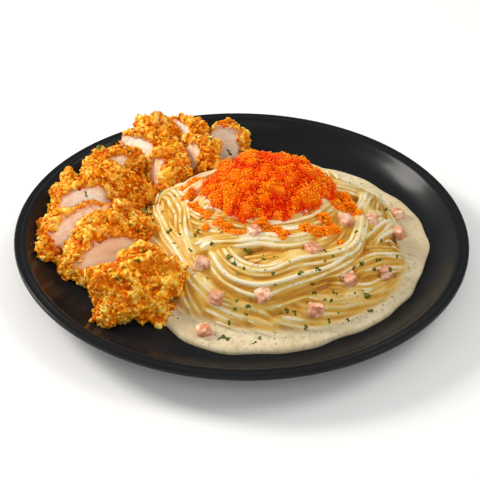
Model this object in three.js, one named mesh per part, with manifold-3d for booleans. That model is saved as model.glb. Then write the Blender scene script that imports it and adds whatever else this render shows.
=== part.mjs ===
// Spaghetti carbonara on a round black plate: a swirled nest of noodles in
// cream sauce, with fish roe and ham cubes on it and sliced fried chicken
// beside it. Millimetres, +Z up, origin under the middle of the plate.
import * as THREE from 'three';
import { mergeVertices } from 'three/addons/utils/BufferGeometryUtils.js';
import Module from 'manifold-3d';

const wasm = await Module();
wasm.setup();

// ---- Driving dimensions ----------------------------------------------------

const GAP = 0.3; // clear space between pieces that touch
const SLIVER = 0.12; // faces narrower than this are merged after a cut

const PLATE = {
  radius: 135,
  height: 22,
  floor: 6.5, // top of the flat middle
  floorRadius: 104, // where the wall starts to climb
  underside: 2, // height of the middle above the table
  footRadius: 82,
  footWidth: 4,
  footTaper: 1, // how much wider the foot is where it leaves the underside
  lipHeight: 3, // outer edge face
  lipWidth: 3,
  lipChamfer: 0.8,
  grooveWidth: 1.6,
  grooveDepth: 0.6,
  beadWidth: 2.2, // low ridge inside the groove
  beadDrop: 0.3, // how much lower than the lip its inner edge lies
  wallSweep: 2.6, // higher keeps the outer wall flat for longer
  wallSteps: 4,
  sides: 44,
};

const SAUCE = {
  centre: [20, -8],
  level: 9.3,
  edgeDrop: 1.6, // how far the rounded edge falls
  edgeWidth: 3,
  under: 1, // how far the blank reaches into the plate before it is cut
  underInset: 0.4, // how much smaller its outline is there
  reach: [92, 98, 100, 96, 88, 80, 75, 80, 98, 91, 86, 86], // radius every 30 degrees
  ripple: 0.8, // small waves of the outline
  ripples: 7,
  sides: 48,
};

const NEST = {
  centre: [12, 2],
  reach: [86, 82, 74, 73, 76, 83, 88, 90], // radius every 45 degrees
  edge: 12, // height of the heap at its outline
  rise: 29, // how much higher its middle is
  fullness: 3, // higher is flatter on top and steeper at the edge
  waves: 0.7, // unevenness of the top
  foot: 0.97, // share of the outline at the plate
  sides: 36,
  rings: 7,
};

const NOODLE = {
  radius: 1.5,
  sides: 5,
  proud: 0.6, // height of its axis above the heap, in radii
  pitch: 3.7, // from one strand to the next
  step: 9.6, // length of one straight piece
  shortest: 5, // places along a strand, below which it is left out
  furthest: 0.98, // share of the heap's radius
  sliver: 0.15,
  places: 24, // places along the whole arc
};

// Strands that show, as [degrees, share of the heap's radius] at both ends,
// how far the middle bows outward, and how many lie side by side.
const STRANDS = [
  { from: [166, 0.82], to: [243, 0.8], bow: -0.02, count: 3 }, // falling on the left
  { from: [184, 0.56], to: [262, 0.42], bow: 0.08, count: 2 }, // fan under the roe
  { from: [222, 0.66], to: [334, 0.5], bow: -0.06, count: 1 }, // bar in front of the roe
  { from: [246, 0.6], to: [356, 0.56], bow: 0.24, count: 3 }, // long front swirl
  { from: [304, 0.84], to: [352, 0.94], bow: -0.04, count: 2 }, // wide bundle on the right
  { from: [282, 0.93], to: [336, 0.97], bow: 0, count: 1 },
  { from: [332, 0.76], to: [18, 0.84], bow: 0.02, count: 2 }, // wedge at the right
  { from: [48, 0.72], to: [8, 0.68], bow: 0.1, count: 2 }, // folded at the back
  { from: [232, 0.9], to: [276, 0.93], bow: 0.02, count: 1 }, // low at the front
  { from: [60, 0.84], to: [126, 0.82], bow: 0.03, count: 1 }, // behind the roe
];

const ROE = {
  centre: [11, 6],
  reach: [43, 42, 40, 36, 37, 35, 30, 35], // radius every 45 degrees
  top: 59,
  peak: [-4, 12], // the highest place, as an offset from the centre
  edge: 3, // thickness at the outline
  crown: 0.9, // lower is rounder on top
  lean: 1.5, // how fast the lean to the peak fades outward
  grain: 0.8, // relief of the packed eggs
  sunk: 6, // how far the blank reaches into the noodles before it is cut
  sides: 28,
  rings: 6,
  looseGrains: 8,
  looseSize: 1.5,
  looseShare: [0.25, 0.85], // share of the radius between which they lie
};

// Smears of roe on the noodles: degrees, share of the radius, length, width.
const SMEAR = { height: 1.8, raise: 0.5, turn: 70 };
const ROE_SMEARS = [
  [197, 0.6, 8, 4],
  [176, 0.66, 6, 4],
  [243, 0.48, 8, 4],
  [286, 0.49, 8, 5],
  [310, 0.5, 9, 5],
  [352, 0.66, 6, 4],
];

// Chicken slices from the front round to the back. Each stands on its edge
// and leans back: middle of the cut face, turn of its long side, degrees that
// the face looks upward, long side, height, thickness, how far the face
// swells where it is crust instead of a cut, how far the crust behind the
// face rises above it, and how strongly its outline has five points.
const CHICKEN = [
  { at: [-54, -61, 23], turn: 24, up: 50, size: [57, 43, 25], swell: 7, hump: 0, star: 0.2 },
  { at: [-68, -29, 19], turn: 31, up: 24, size: [64, 32, 30], swell: 0, hump: 9, star: 0 },
  { at: [-95, -8, 19], turn: 38, up: 38, size: [52, 30, 24], swell: 0, hump: 3, star: 0 },
  { at: [-86, 23, 20], turn: 32, up: 30, size: [64, 33, 32], swell: 0, hump: 5, star: 0 },
  { at: [-79, 55, 22], turn: 42, up: 30, size: [40, 30, 20], swell: 0, hump: 2, star: 0 },
  { at: [-64, 76, 21], turn: -38, up: 34, size: [48, 32, 22], swell: 0, hump: 2, star: 0 },
  { at: [-56, 55, 20], turn: -72, up: 15, size: [30, 27, 21], swell: 0, hump: 3, star: 0 },
  { at: [-60, 99, 24], turn: -22, up: 30, size: [30, 26, 14], swell: 5, hump: 0, star: 0 },
  { at: [-43, 97, 23], turn: -46, up: 30, size: [28, 28, 17], swell: 0, hump: 2, star: 0 },
  { at: [-34, 77, 19], turn: -56, up: 22, size: [32, 30, 18], swell: 0, hump: 2, star: 0 },
  { at: [-11, 97, 17], turn: -10, up: 18, size: [27, 28, 16], swell: 0, hump: 1, star: 0 },
];

const CRUST = {
  sides: 18,
  rings: 4,
  squareness: 2.5, // 2 is an ellipse
  crag: 1.5, // roughness of the crumbs
  starTurn: 0.1, // angle of the first point of a slice with five points
  lump: 0.06, // unevenness of the outline
  back: 0.55, // share of the outline that is left at the far end
  taper: 0.18,
  rim: 0.84, // share of the outline where the meat starts at the cut
  inset: 0.8, // how far the meat lies behind the crust's edge
  meatEdge: 0.04, // how much further in the meat's own edge lies
  cutCrag: [0.2, 0.1], // roughness at the cut, as a share, at the crust's edge and on the meat
  swellRings: [[0.8, 0.6], [0.4, 1]], // share of the outline and of the swell
  endStep: 0.08, // share of the thickness between the last two rings
};

const HAM_SIZE = 7.4;
const HAM = { spread: 0.12, flatness: 0.9, tilt: 0.35, raise: 0.3, float: 0.2 };
const HAM_SAUCE_SEED = 50;
// Ham cubes: degrees and share of the radius on the heap.
const HAM_ON_NEST = [
  [238, 0.76], [251, 0.9], [270, 0.85], [300, 0.62], [262, 0.43],
  [309, 0.85], [327, 0.93], [351, 0.74], [338, 0.58], [290, 0.94], [356, 0.94],
];
const HAM_IN_SAUCE = [[-20, -87], [97, 28]]; // x and y

// Herb flakes: how many on the heap, and degrees round the pool for the others.
const FLAKE = {
  size: [3.4, 2.2, 0.8],
  tilt: 0.5,
  raise: 0.1, // height of its middle above what it lies on
  onNest: 8,
  nestAngle: [150, 400], // degrees between which they lie on the heap
  nestShare: [0.45, 0.9], // and share of its radius
  onSauce: [-104, -66, -36, -14],
  fromEdge: 6,
};

// ---- Helpers ---------------------------------------------------------------

// The same draws every time, from 0 to 1.
function seeded(seed) {
  let state = seed;
  return () => {
    state = (state + 0x6d2b79f5) | 0;
    let t = Math.imul(state ^ (state >>> 15), 1 | state);
    t = (t + Math.imul(t ^ (t >>> 7), 61 | t)) ^ t;
    return ((t ^ (t >>> 14)) >>> 0) / 4294967296;
  };
}

// A smooth closed outline through radii spaced evenly round the circle.
function reachAt(reach, angle) {
  const count = reach.length;
  const place = (((angle / (2 * Math.PI)) % 1) + 1) % 1 * count;
  const i = Math.floor(place);
  const t = place - i;
  const [a, b, c, d] = [-1, 0, 1, 2].map((k) => reach[(i + k + count) % count]);
  const cubic = -a + 3 * b - 3 * c + d;
  return 0.5 * (2 * b + (c - a) * t + (2 * a - 5 * b + 4 * c - d) * t * t + cubic * t ** 3);
}

// A closed surface through rings of equal count, counterclockwise about the
// direction in which they follow each other, with a flat fan at both ends.
function loft(rings) {
  const count = rings[0].length;
  const points = rings.flat();
  const middle = (ring) => ring.reduce((sum, p) => sum.add(p), new THREE.Vector3()).divideScalar(count);
  const first = points.push(middle(rings[0])) - 1;
  const last = points.push(middle(rings[rings.length - 1])) - 1;
  const top = (rings.length - 1) * count;
  const faces = [];
  for (let j = 0; j < count; j += 1) {
    const k = (j + 1) % count;
    faces.push(first, k, j, last, top + j, top + k);
    for (let i = 0; i < rings.length - 1; i += 1) {
      const a = i * count;
      faces.push(a + j, a + k, a + count + k, a + j, a + count + k, a + count + j);
    }
  }
  const geometry = new THREE.BufferGeometry().setFromPoints(points);
  geometry.setIndex(faces);
  return geometry;
}

function merged(geometry) {
  const bare = geometry.clone();
  bare.deleteAttribute('normal');
  bare.deleteAttribute('uv');
  return mergeVertices(bare, 1e-4);
}

function solidOf(geometry) {
  const shape = merged(geometry);
  return new wasm.Manifold(new wasm.Mesh({
    numProp: 3,
    vertProperties: new Float32Array(shape.attributes.position.array),
    triVerts: new Uint32Array(shape.index.array),
  }));
}

function geometryOf(solid) {
  const mesh = solid.getMesh();
  const geometry = new THREE.BufferGeometry();
  geometry.setAttribute('position', new THREE.BufferAttribute(new Float32Array(mesh.vertProperties), 3));
  geometry.setIndex(new THREE.BufferAttribute(new Uint32Array(mesh.triVerts), 1));
  return geometry;
}

// The solid with its surface moved out, to cut its neighbours clear of it.
function grown(solid, distance = GAP) {
  const geometry = geometryOf(solid);
  geometry.computeVertexNormals();
  const { position, normal } = geometry.attributes;
  for (let i = 0; i < position.count; i += 1) {
    position.setXYZ(
      i,
      position.getX(i) + distance * normal.getX(i),
      position.getY(i) + distance * normal.getY(i),
      position.getZ(i) + distance * normal.getZ(i),
    );
  }
  return solidOf(geometry);
}

// The largest body of a solid, without the scraps and slivers that a cut leaves.
function largest(solid, sliver = SLIVER) {
  const bodies = solid.simplify(sliver).decompose();
  return bodies.reduce((best, body) => (body.volume() > best.volume() ? body : best));
}

// ---- Plate -----------------------------------------------------------------

function plateSolid() {
  const p = PLATE;
  const lipInner = p.radius - p.lipWidth;
  const beadInner = lipInner - p.grooveWidth - p.beadWidth;
  const wallTop = p.height - p.beadDrop;
  const wallInside = (r) => p.floor
    + (wallTop - p.floor) * ((r - p.floorRadius) / (beadInner - p.floorRadius)) ** 2;
  const footOuter = p.footRadius + p.footWidth / 2;
  const lipUnder = p.height - p.lipHeight;
  const wallOutside = (r) => p.underside
    + (lipUnder - p.underside) * ((r - footOuter) / (p.radius - footOuter)) ** p.wallSweep;
  const profile = [
    [0, p.underside],
    [footOuter - p.footWidth - p.footTaper, p.underside],
    [footOuter - p.footWidth, 0],
    [footOuter, 0],
    [footOuter + p.footTaper, p.underside],
  ];
  for (let i = 1; i <= p.wallSteps; i += 1) {
    const r = THREE.MathUtils.lerp(footOuter, p.radius, i / p.wallSteps);
    profile.push([r, wallOutside(r)]);
  }
  profile.push(
    [p.radius, p.height - p.lipChamfer],
    [p.radius - p.lipChamfer, p.height],
    [lipInner, p.height],
    [lipInner - p.grooveWidth / 2, p.height - p.grooveDepth],
    [lipInner - p.grooveWidth, p.height - p.beadDrop / 3],
  );
  for (let i = 0; i <= p.wallSteps; i += 1) {
    const r = THREE.MathUtils.lerp(beadInner, p.floorRadius, i / p.wallSteps);
    profile.push([r, wallInside(r)]);
  }
  profile.push([0, p.floor]);
  const lathe = new THREE.LatheGeometry(profile.map(([r, z]) => new THREE.Vector2(r, z)), p.sides);
  lathe.rotateX(Math.PI / 2);
  return solidOf(lathe);
}

// ---- Noodle heap -----------------------------------------------------------

// Angle and share of the heap's radius to a point on the ground plan.
function onPlan(degrees, share) {
  const angle = THREE.MathUtils.degToRad(degrees);
  const radius = share * reachAt(NEST.reach, angle);
  return [NEST.centre[0] + radius * Math.cos(angle), NEST.centre[1] + radius * Math.sin(angle)];
}

function nestHeight(x, y) {
  const [dx, dy] = [x - NEST.centre[0], y - NEST.centre[1]];
  const angle = Math.atan2(dy, dx);
  const share = Math.min(1, Math.hypot(dx, dy) / reachAt(NEST.reach, angle));
  const wave = Math.sin(3 * angle + 9 * share) * Math.sin(Math.PI * share);
  return NEST.edge + NEST.rise * (1 - share ** NEST.fullness) + NEST.waves * wave;
}

// Share of the heap's radius at which its rings of corners lie.
const nestRing = (i) => Math.sin(i / NEST.rings * Math.PI / 2);

function nestCore() {
  const ring = (share, height) => {
    const points = [];
    for (let j = 0; j < NEST.sides; j += 1) {
      const [x, y] = onPlan(j * 360 / NEST.sides, share);
      points.push(new THREE.Vector3(x, y, height ?? nestHeight(x, y)));
    }
    return points;
  };
  const rings = [ring(NEST.foot, PLATE.floor + GAP)];
  for (let i = NEST.rings; i >= 1; i -= 1) {
    rings.push(ring(nestRing(i)));
  }
  return solidOf(loft(rings));
}

// Height of the heap's flat facets between their corners.
function facetHeight(degrees, share) {
  const side = degrees / 360 * NEST.sides;
  const level = Math.asin(Math.min(share, 1)) / (Math.PI / 2) * NEST.rings;
  const [j, i] = [Math.floor(side), Math.min(Math.max(Math.floor(level), 1), NEST.rings - 1)];
  const across = THREE.MathUtils.clamp((share - nestRing(i)) / (nestRing(i + 1) - nestRing(i)), 0, 1);
  const corner = (dj, di) => nestHeight(...onPlan((j + dj) * 360 / NEST.sides, nestRing(i + di)));
  const { lerp } = THREE.MathUtils;
  return lerp(
    lerp(corner(0, 0), corner(1, 0), side - j),
    lerp(corner(0, 1), corner(1, 1), side - j),
    across,
  );
}

// One strand laid over the heap along an arc, shortened where stop() holds.
function strandPoints(strand, offset, stop) {
  const points = [];
  for (let i = 0; i <= NOODLE.places; i += 1) {
    const t = i / NOODLE.places;
    let sweep = strand.to[0] - strand.from[0];
    if (sweep < -180) {
      sweep += 360;
    }
    const middle = THREE.MathUtils.lerp(strand.from[1], strand.to[1], t);
    const share = Math.min(middle + strand.bow * Math.sin(Math.PI * t) + offset, NOODLE.furthest);
    const degrees = strand.from[0] + sweep * t;
    const [x, y] = onPlan(degrees, share);
    const point = new THREE.Vector3(x, y, facetHeight(degrees, share) + NOODLE.radius * NOODLE.proud);
    if (!stop(point)) {
      points.push(point);
    } else if (points.length > NOODLE.shortest) {
      break;
    } else {
      points.length = 0;
    }
  }
  return points;
}

function noodle(points) {
  const curve = new THREE.CatmullRomCurve3(points);
  const section = new THREE.Shape();
  for (let i = 0; i < NOODLE.sides; i += 1) {
    const angle = i / NOODLE.sides * 2 * Math.PI;
    const corner = [NOODLE.radius * Math.cos(angle), NOODLE.radius * Math.sin(angle)];
    if (i === 0) {
      section.moveTo(...corner);
    } else {
      section.lineTo(...corner);
    }
  }
  const steps = Math.max(4, Math.round(curve.getLength() / NOODLE.step));
  return solidOf(new THREE.ExtrudeGeometry(section, { steps, extrudePath: curve, bevelEnabled: false }));
}

// A herb flake half sunk in what it lies on.
function flake(x, y, z, random) {
  const geometry = new THREE.BoxGeometry(...FLAKE.size);
  geometry.rotateX((random() - 0.5) * FLAKE.tilt);
  geometry.rotateZ(random() * Math.PI);
  geometry.translate(x, y, z);
  return solidOf(geometry);
}

// ---- Roe -------------------------------------------------------------------

// Height of the mound over a place at this share of its radius.
function roeHeight(x, y, share) {
  const base = nestHeight(x, y) + ROE.edge;
  return base + (ROE.top - base) * (1 - share ** 2) ** ROE.crown;
}

function roeMound(core) {
  const random = seeded(11);
  const [cx, cy] = ROE.centre;
  const ringAt = (share) => {
    const points = [];
    for (let j = 0; j < ROE.sides; j += 1) {
      const angle = j / ROE.sides * 2 * Math.PI;
      const radius = share * reachAt(ROE.reach, angle);
      const shift = (1 - share) ** ROE.lean;
      const x = cx + radius * Math.cos(angle) + ROE.peak[0] * shift;
      const y = cy + radius * Math.sin(angle) + ROE.peak[1] * shift;
      const grain = ROE.grain * (random() * 2 - 1);
      points.push(new THREE.Vector3(x, y, roeHeight(x, y, share) + grain));
    }
    return points;
  };
  const rings = [];
  for (let i = ROE.rings; i >= 1; i -= 1) {
    rings.push(ringAt(i / ROE.rings));
  }
  const under = rings[0].map((p) => new THREE.Vector3(
    THREE.MathUtils.lerp(cx, p.x, NEST.foot),
    THREE.MathUtils.lerp(cy, p.y, NEST.foot),
    p.z - ROE.edge - ROE.sunk,
  ));
  let mound = solidOf(loft([under, ...rings])).subtract(grown(core));
  for (let i = 0; i < ROE.looseGrains; i += 1) {
    const [angle, share] = [random() * 2 * Math.PI, THREE.MathUtils.lerp(...ROE.looseShare, random())];
    const radius = share * reachAt(ROE.reach, angle);
    const [x, y] = [cx + radius * Math.cos(angle), cy + radius * Math.sin(angle)];
    const egg = new THREE.IcosahedronGeometry(ROE.looseSize, 0);
    egg.translate(x, y, roeHeight(x, y, share) + GAP);
    mound = mound.add(solidOf(egg));
  }
  return largest(mound);
}

function roeSmear([degrees, share, length, width]) {
  const [x, y] = onPlan(degrees, share);
  const geometry = new THREE.IcosahedronGeometry(1, 0);
  geometry.scale(length / 2, width / 2, SMEAR.height);
  geometry.rotateZ(THREE.MathUtils.degToRad(degrees + SMEAR.turn));
  geometry.translate(x, y, nestHeight(x, y) + SMEAR.raise);
  return solidOf(geometry);
}

// ---- Fried chicken ---------------------------------------------------------

function chickenSlice(slice, seed) {
  const random = seeded(100 + seed);
  const [length, height, thickness] = slice.size;
  const phase = random() * 2 * Math.PI;
  const outline = (angle, depth) => {
    const [c, s] = [Math.cos(angle), Math.sin(angle)];
    const { squareness } = CRUST;
    const round = (Math.abs(c) ** squareness + Math.abs(s) ** squareness) ** (-1 / squareness);
    const lump = Math.sin(3 * angle + phase + depth / 6) + Math.sin(5 * angle - 2 * phase);
    const points = slice.star * Math.cos(5 * (angle - CRUST.starTurn));
    return round * (1 + CRUST.lump * lump + points);
  };
  // share: how far out from the middle; depth: distance behind the cut face
  const ring = (share, depth, rough) => {
    const points = [];
    for (let j = 0; j < CRUST.sides; j += 1) {
      const angle = j / CRUST.sides * 2 * Math.PI;
      const crag = rough * CRUST.crag * (2 * random() - 1);
      const radius = share * outline(angle, depth);
      const bell = Math.sin(Math.PI * THREE.MathUtils.clamp(depth / thickness, 0, 1));
      const rise = slice.hump * bell * Math.max(0, Math.sin(angle));
      points.push(new THREE.Vector3(
        (radius * length / 2 + crag) * Math.cos(angle),
        (radius * height / 2 + crag) * Math.sin(angle) + rise,
        -depth + crag * 0.5,
      ));
    }
    return points;
  };
  const rings = [ring(CRUST.back, thickness, 1)];
  for (let i = CRUST.rings - 1; i >= 0; i -= 1) {
    const t = i / (CRUST.rings - 1);
    rings.push(ring(1 - CRUST.taper * t ** 3, thickness * t * (1 - CRUST.endStep), 1));
  }
  if (slice.swell > 0) {
    CRUST.swellRings.forEach(([share, swell]) => rings.push(ring(share, -slice.swell * swell, 1)));
  } else {
    const [edgeCrag, meatCrag] = CRUST.cutCrag;
    rings.push(
      ring(CRUST.rim, 0, edgeCrag),
      ring(CRUST.rim - CRUST.meatEdge, CRUST.inset, meatCrag),
    );
  }
  const geometry = loft(rings);
  // The local X runs along the long side and the local Z out of the cut face.
  const turn = THREE.MathUtils.degToRad(slice.turn);
  const up = THREE.MathUtils.degToRad(slice.up);
  const along = new THREE.Vector3(Math.cos(turn), Math.sin(turn), 0);
  const out = new THREE.Vector3(
    Math.sin(turn) * Math.cos(up),
    -Math.cos(turn) * Math.cos(up),
    Math.sin(up),
  );
  const back = new THREE.Vector3().crossVectors(out, along);
  const frame = new THREE.Matrix4().makeBasis(along, back, out);
  frame.setPosition(...slice.at);
  geometry.applyMatrix4(frame);
  return solidOf(geometry);
}

// ---- Ham -------------------------------------------------------------------

function hamCube(x, y, z, seed) {
  const random = seeded(300 + seed);
  const side = () => HAM_SIZE * (1 + HAM.spread * (2 * random() - 1));
  const geometry = new THREE.BoxGeometry(side(), side(), side() * HAM.flatness);
  geometry.rotateX(HAM.tilt * (2 * random() - 1));
  geometry.rotateY(HAM.tilt * (2 * random() - 1));
  geometry.rotateZ(random() * Math.PI);
  geometry.translate(x, y, z);
  return solidOf(geometry);
}

// ---- Sauce -----------------------------------------------------------------

function saucePool() {
  const [cx, cy] = SAUCE.centre;
  const ring = (inset, height) => {
    const points = [];
    for (let j = 0; j < SAUCE.sides; j += 1) {
      const angle = j / SAUCE.sides * 2 * Math.PI;
      const ripple = SAUCE.ripple * Math.sin(SAUCE.ripples * angle);
      const radius = reachAt(SAUCE.reach, angle) - inset + ripple;
      points.push(new THREE.Vector3(cx + radius * Math.cos(angle), cy + radius * Math.sin(angle), height));
    }
    return points;
  };
  const { level, edgeDrop, edgeWidth } = SAUCE;
  let pool = solidOf(loft([
    ring(SAUCE.underInset, PLATE.floor - SAUCE.under),
    ring(0, level - edgeDrop),
    ring(edgeWidth / 3, level - edgeDrop / 3),
    ring(edgeWidth, level),
  ]));
  const random = seeded(7);
  for (const degrees of FLAKE.onSauce) {
    const angle = THREE.MathUtils.degToRad(degrees);
    const radius = reachAt(SAUCE.reach, angle) - FLAKE.fromEdge;
    const [x, y] = [cx + radius * Math.cos(angle), cy + radius * Math.sin(angle)];
    pool = pool.add(flake(x, y, level + FLAKE.raise, random));
  }
  return pool;
}

// ---- Put it together -------------------------------------------------------

function buildSolids() {
  const plate = plateSolid();
  const plateClear = grown(plate);
  const core = nestCore();
  const coreClear = grown(core);

  const chicken = [];
  CHICKEN.forEach((slice, index) => {
    let piece = chickenSlice(slice, index).subtract(plateClear).subtract(coreClear);
    chicken.forEach((other) => {
      piece = piece.subtract(grown(other));
    });
    chicken.push(largest(piece));
  });

  const cubes = HAM_ON_NEST.map(([degrees, share], index) => {
    const [x, y] = onPlan(degrees, share);
    return hamCube(x, y, nestHeight(x, y) + HAM_SIZE * HAM.raise, index);
  });
  HAM_IN_SAUCE.forEach(([x, y], index) => {
    cubes.push(hamCube(x, y, SAUCE.level + HAM_SIZE * HAM.float, HAM_SAUCE_SEED + index));
  });
  const ham = cubes.map((cube) => largest(cube.subtract(coreClear).subtract(plateClear)));
  const roe = roeMound(core);

  // The noodles stop this far from the roe and the sauce.
  const reachOf = NOODLE.radius + 2 * GAP;
  const underRoe = (point) => {
    const [dx, dy] = [point.x - ROE.centre[0], point.y - ROE.centre[1]];
    return Math.hypot(dx, dy) < reachAt(ROE.reach, Math.atan2(dy, dx)) + reachOf;
  };
  const blocked = (point) => underRoe(point) || point.z < SAUCE.level + reachOf;

  const onCore = ROE_SMEARS.map(roeSmear);
  const spacing = NOODLE.pitch / NEST.reach[0]; // as a share of the heap's radius
  for (const strand of STRANDS) {
    for (let k = 0; k < strand.count; k += 1) {
      const points = strandPoints(strand, (k - (strand.count - 1) / 2) * spacing, blocked);
      if (points.length >= NOODLE.shortest) {
        onCore.push(noodle(points));
      }
    }
  }
  const random = seeded(5);
  let placed = 0;
  while (placed < FLAKE.onNest) {
    const degrees = THREE.MathUtils.lerp(...FLAKE.nestAngle, random());
    const [x, y] = onPlan(degrees, THREE.MathUtils.lerp(...FLAKE.nestShare, random()));
    const point = new THREE.Vector3(x, y, nestHeight(x, y));
    if (!blocked(point)) {
      onCore.push(flake(x, y, point.z + FLAKE.raise, random));
      placed += 1;
    }
  }
  let relief = onCore.reduce((sum, piece) => sum.add(piece));
  [...cubes, ...chicken].forEach((piece) => {
    relief = relief.subtract(grown(piece, 2 * GAP));
  });
  const nest = largest(core.add(relief), NOODLE.sliver);

  let sauce = saucePool().subtract(plateClear).subtract(coreClear);
  [...chicken, ...ham].forEach((piece) => {
    sauce = sauce.subtract(grown(piece));
  });
  sauce = largest(sauce);
  return { plate, sauce, nest, roe, chicken, ham };
}

function addMesh(group, name, solid, material) {
  const mesh = new THREE.Mesh(geometryOf(solid), material);
  mesh.name = name;
  group.add(mesh);
}

const finish = (color, roughness) => () => new THREE.MeshStandardMaterial({ color, roughness, metalness: 0 });
const blackGlaze = finish(0x1b1c1e, 0.45);
const cream = finish(0xe9dcc0, 0.35);
const pasta = finish(0xeddfae, 0.4);
const orangeRoe = finish(0xf2691b, 0.3);
const friedCrust = finish(0xdf9a35, 0.7);
const hamPink = finish(0xd9968a, 0.45);

const solids = buildSolids();
const group = new THREE.Group();
addMesh(group, 'plate', solids.plate, blackGlaze());
addMesh(group, 'cream_sauce', solids.sauce, cream());
addMesh(group, 'spaghetti_nest', solids.nest, pasta());
addMesh(group, 'roe_mound', solids.roe, orangeRoe());
solids.chicken.forEach((solid, i) => addMesh(group, `chicken_${i + 1}`, solid, friedCrust()));
solids.ham.forEach((solid, i) => addMesh(group, `ham_${i + 1}`, solid, hamPink()));

export default group;
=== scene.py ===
# %% [markdown]
# # A plate of spaghetti carbonara
#
# The dish is a swirled nest of noodles in cream on a black coupe plate, with
# a mound of fish roe, ham cubes and slices of crumbed fried chicken. The
# construction model gives the size and place of every piece. Blender makes
# what it leaves plain: single noodles, cream between them, eggs and crumbs.
#
# The frame is loaded first. Its nodes arrive selected, and an operator acts
# on all that is selected, so everything is deselected before any modelling.

# %% Load the frame
import math
import random

import bpy
import numpy as np
from mathutils import Matrix, Vector, noise
from mathutils.bvhtree import BVHTree


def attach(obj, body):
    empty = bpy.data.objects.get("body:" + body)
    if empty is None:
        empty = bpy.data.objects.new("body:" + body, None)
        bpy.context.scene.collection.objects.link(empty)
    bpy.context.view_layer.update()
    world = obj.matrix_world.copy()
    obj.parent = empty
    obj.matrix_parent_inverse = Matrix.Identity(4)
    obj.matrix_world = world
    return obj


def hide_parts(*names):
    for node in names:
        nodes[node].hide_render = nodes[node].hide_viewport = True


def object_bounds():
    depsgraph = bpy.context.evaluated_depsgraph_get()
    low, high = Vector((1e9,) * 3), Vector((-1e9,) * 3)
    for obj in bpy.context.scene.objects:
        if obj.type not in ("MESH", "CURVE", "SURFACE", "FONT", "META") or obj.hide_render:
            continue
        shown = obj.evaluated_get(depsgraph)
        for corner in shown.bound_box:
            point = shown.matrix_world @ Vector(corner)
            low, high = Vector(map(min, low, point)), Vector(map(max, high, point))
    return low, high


MM = 0.001
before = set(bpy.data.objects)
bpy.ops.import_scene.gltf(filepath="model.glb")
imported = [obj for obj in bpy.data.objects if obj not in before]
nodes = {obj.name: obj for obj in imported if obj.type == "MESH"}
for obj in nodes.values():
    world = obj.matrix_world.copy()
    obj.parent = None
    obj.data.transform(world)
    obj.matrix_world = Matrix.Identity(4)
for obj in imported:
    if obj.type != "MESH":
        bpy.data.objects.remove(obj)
cad_box = [list(corner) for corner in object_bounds()]
bpy.ops.object.select_all(action="DESELECT")
print("frame:", len(nodes), "nodes in a box from", cad_box[0], "to", cad_box[1])

# %% [markdown]
# ## Camera
#
# A plated dish is seen from above at a slant, as a guest sees it. A long lens
# keeps the plate's oval even, with no swelling towards the viewer. The camera
# could be set with rotation angles; here its axes are written down as a
# matrix, because then the same axes can also send rays into the scene later.

# %% Camera
CAMERA = {
    "lens": 85, "sensor": 36, "tilt": 35.72, "roll": 0.94, "distance": 686, "target": (-1.0, -0.4, 10),
}
FRAME_SIZE = 480  # pixels along each side of the camera's frame

tilt = math.radians(CAMERA["tilt"])
roll = math.radians(CAMERA["roll"])
view_back = Vector((0, -math.cos(tilt), math.sin(tilt)))
level_up = Vector((0, math.sin(tilt), math.cos(tilt)))
view_right = math.cos(roll) * Vector((1, 0, 0)) + math.sin(roll) * level_up
view_up = view_back.cross(view_right)
eye = MM * (Vector(CAMERA["target"]) + CAMERA["distance"] * view_back)

bpy.ops.object.camera_add(location=eye)
camera = bpy.context.object
axes = Matrix((view_right, view_up, view_back)).transposed().to_4x4()
camera.matrix_world = Matrix.Translation(eye) @ axes
camera.data.lens = CAMERA["lens"]
camera.data.sensor_width = CAMERA["sensor"]
camera.data.clip_end = 20
bpy.context.scene.camera = camera


def ray_through(pixel):
    """Direction from the camera through a pixel of its frame."""
    reach = FRAME_SIZE * CAMERA["lens"] / CAMERA["sensor"]
    x = (pixel[0] - FRAME_SIZE / 2) / reach
    y = (FRAME_SIZE / 2 - pixel[1]) / reach
    return (view_right * x + view_up * y - view_back).normalized()


print("camera: at", [round(v, 3) for v in eye])

# %% [markdown]
# ## Shader helpers
#
# Every material here is a small tree of nodes. One helper adds a node and
# fills its sockets, so a material reads as a list of what it is made of.
# "Patches" is a soft cloud mask and "specks" a scatter of tiny dots; several
# finishes use them, so each is a node group with its own inputs.

# %% Shader helpers
def add(tree, kind, values=None, **settings):
    """Adds a shader node. A value that is a socket is linked, any other is set."""
    made = tree.nodes.new("ShaderNode" + kind)
    for key, value in settings.items():
        setattr(made, key, value)
    for key, value in (values or {}).items():
        if isinstance(value, bpy.types.NodeSocket):
            tree.links.new(value, made.inputs[key])
        else:
            made.inputs[key].default_value = value
    return made


def new_group(name, inputs, outputs):
    tree = bpy.data.node_groups.new(name, "ShaderNodeTree")
    for label, default in inputs.items():
        socket = tree.interface.new_socket(label, in_out="INPUT", socket_type="NodeSocketFloat")
        socket.default_value = default
    for label in outputs:
        tree.interface.new_socket(label, in_out="OUTPUT", socket_type="NodeSocketFloat")
    return tree, tree.nodes.new("NodeGroupInput"), tree.nodes.new("NodeGroupOutput")


patches, p_in, p_out = new_group("patches", {"Scale": 100.0, "Low": 0.4, "High": 0.6}, ["Mask"])
place = add(patches, "TexCoord").outputs["Object"]
cloud_node = add(patches, "TexNoise", {"Vector": place, "Scale": p_in.outputs["Scale"], "Detail": 3.0})
spread = add(patches, "MapRange", {
    "Value": cloud_node.outputs["Fac"],
    "From Min": p_in.outputs["Low"],
    "From Max": p_in.outputs["High"],
}, interpolation_type="SMOOTHSTEP")
patches.links.new(spread.outputs["Result"], p_out.inputs["Mask"])

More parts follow.
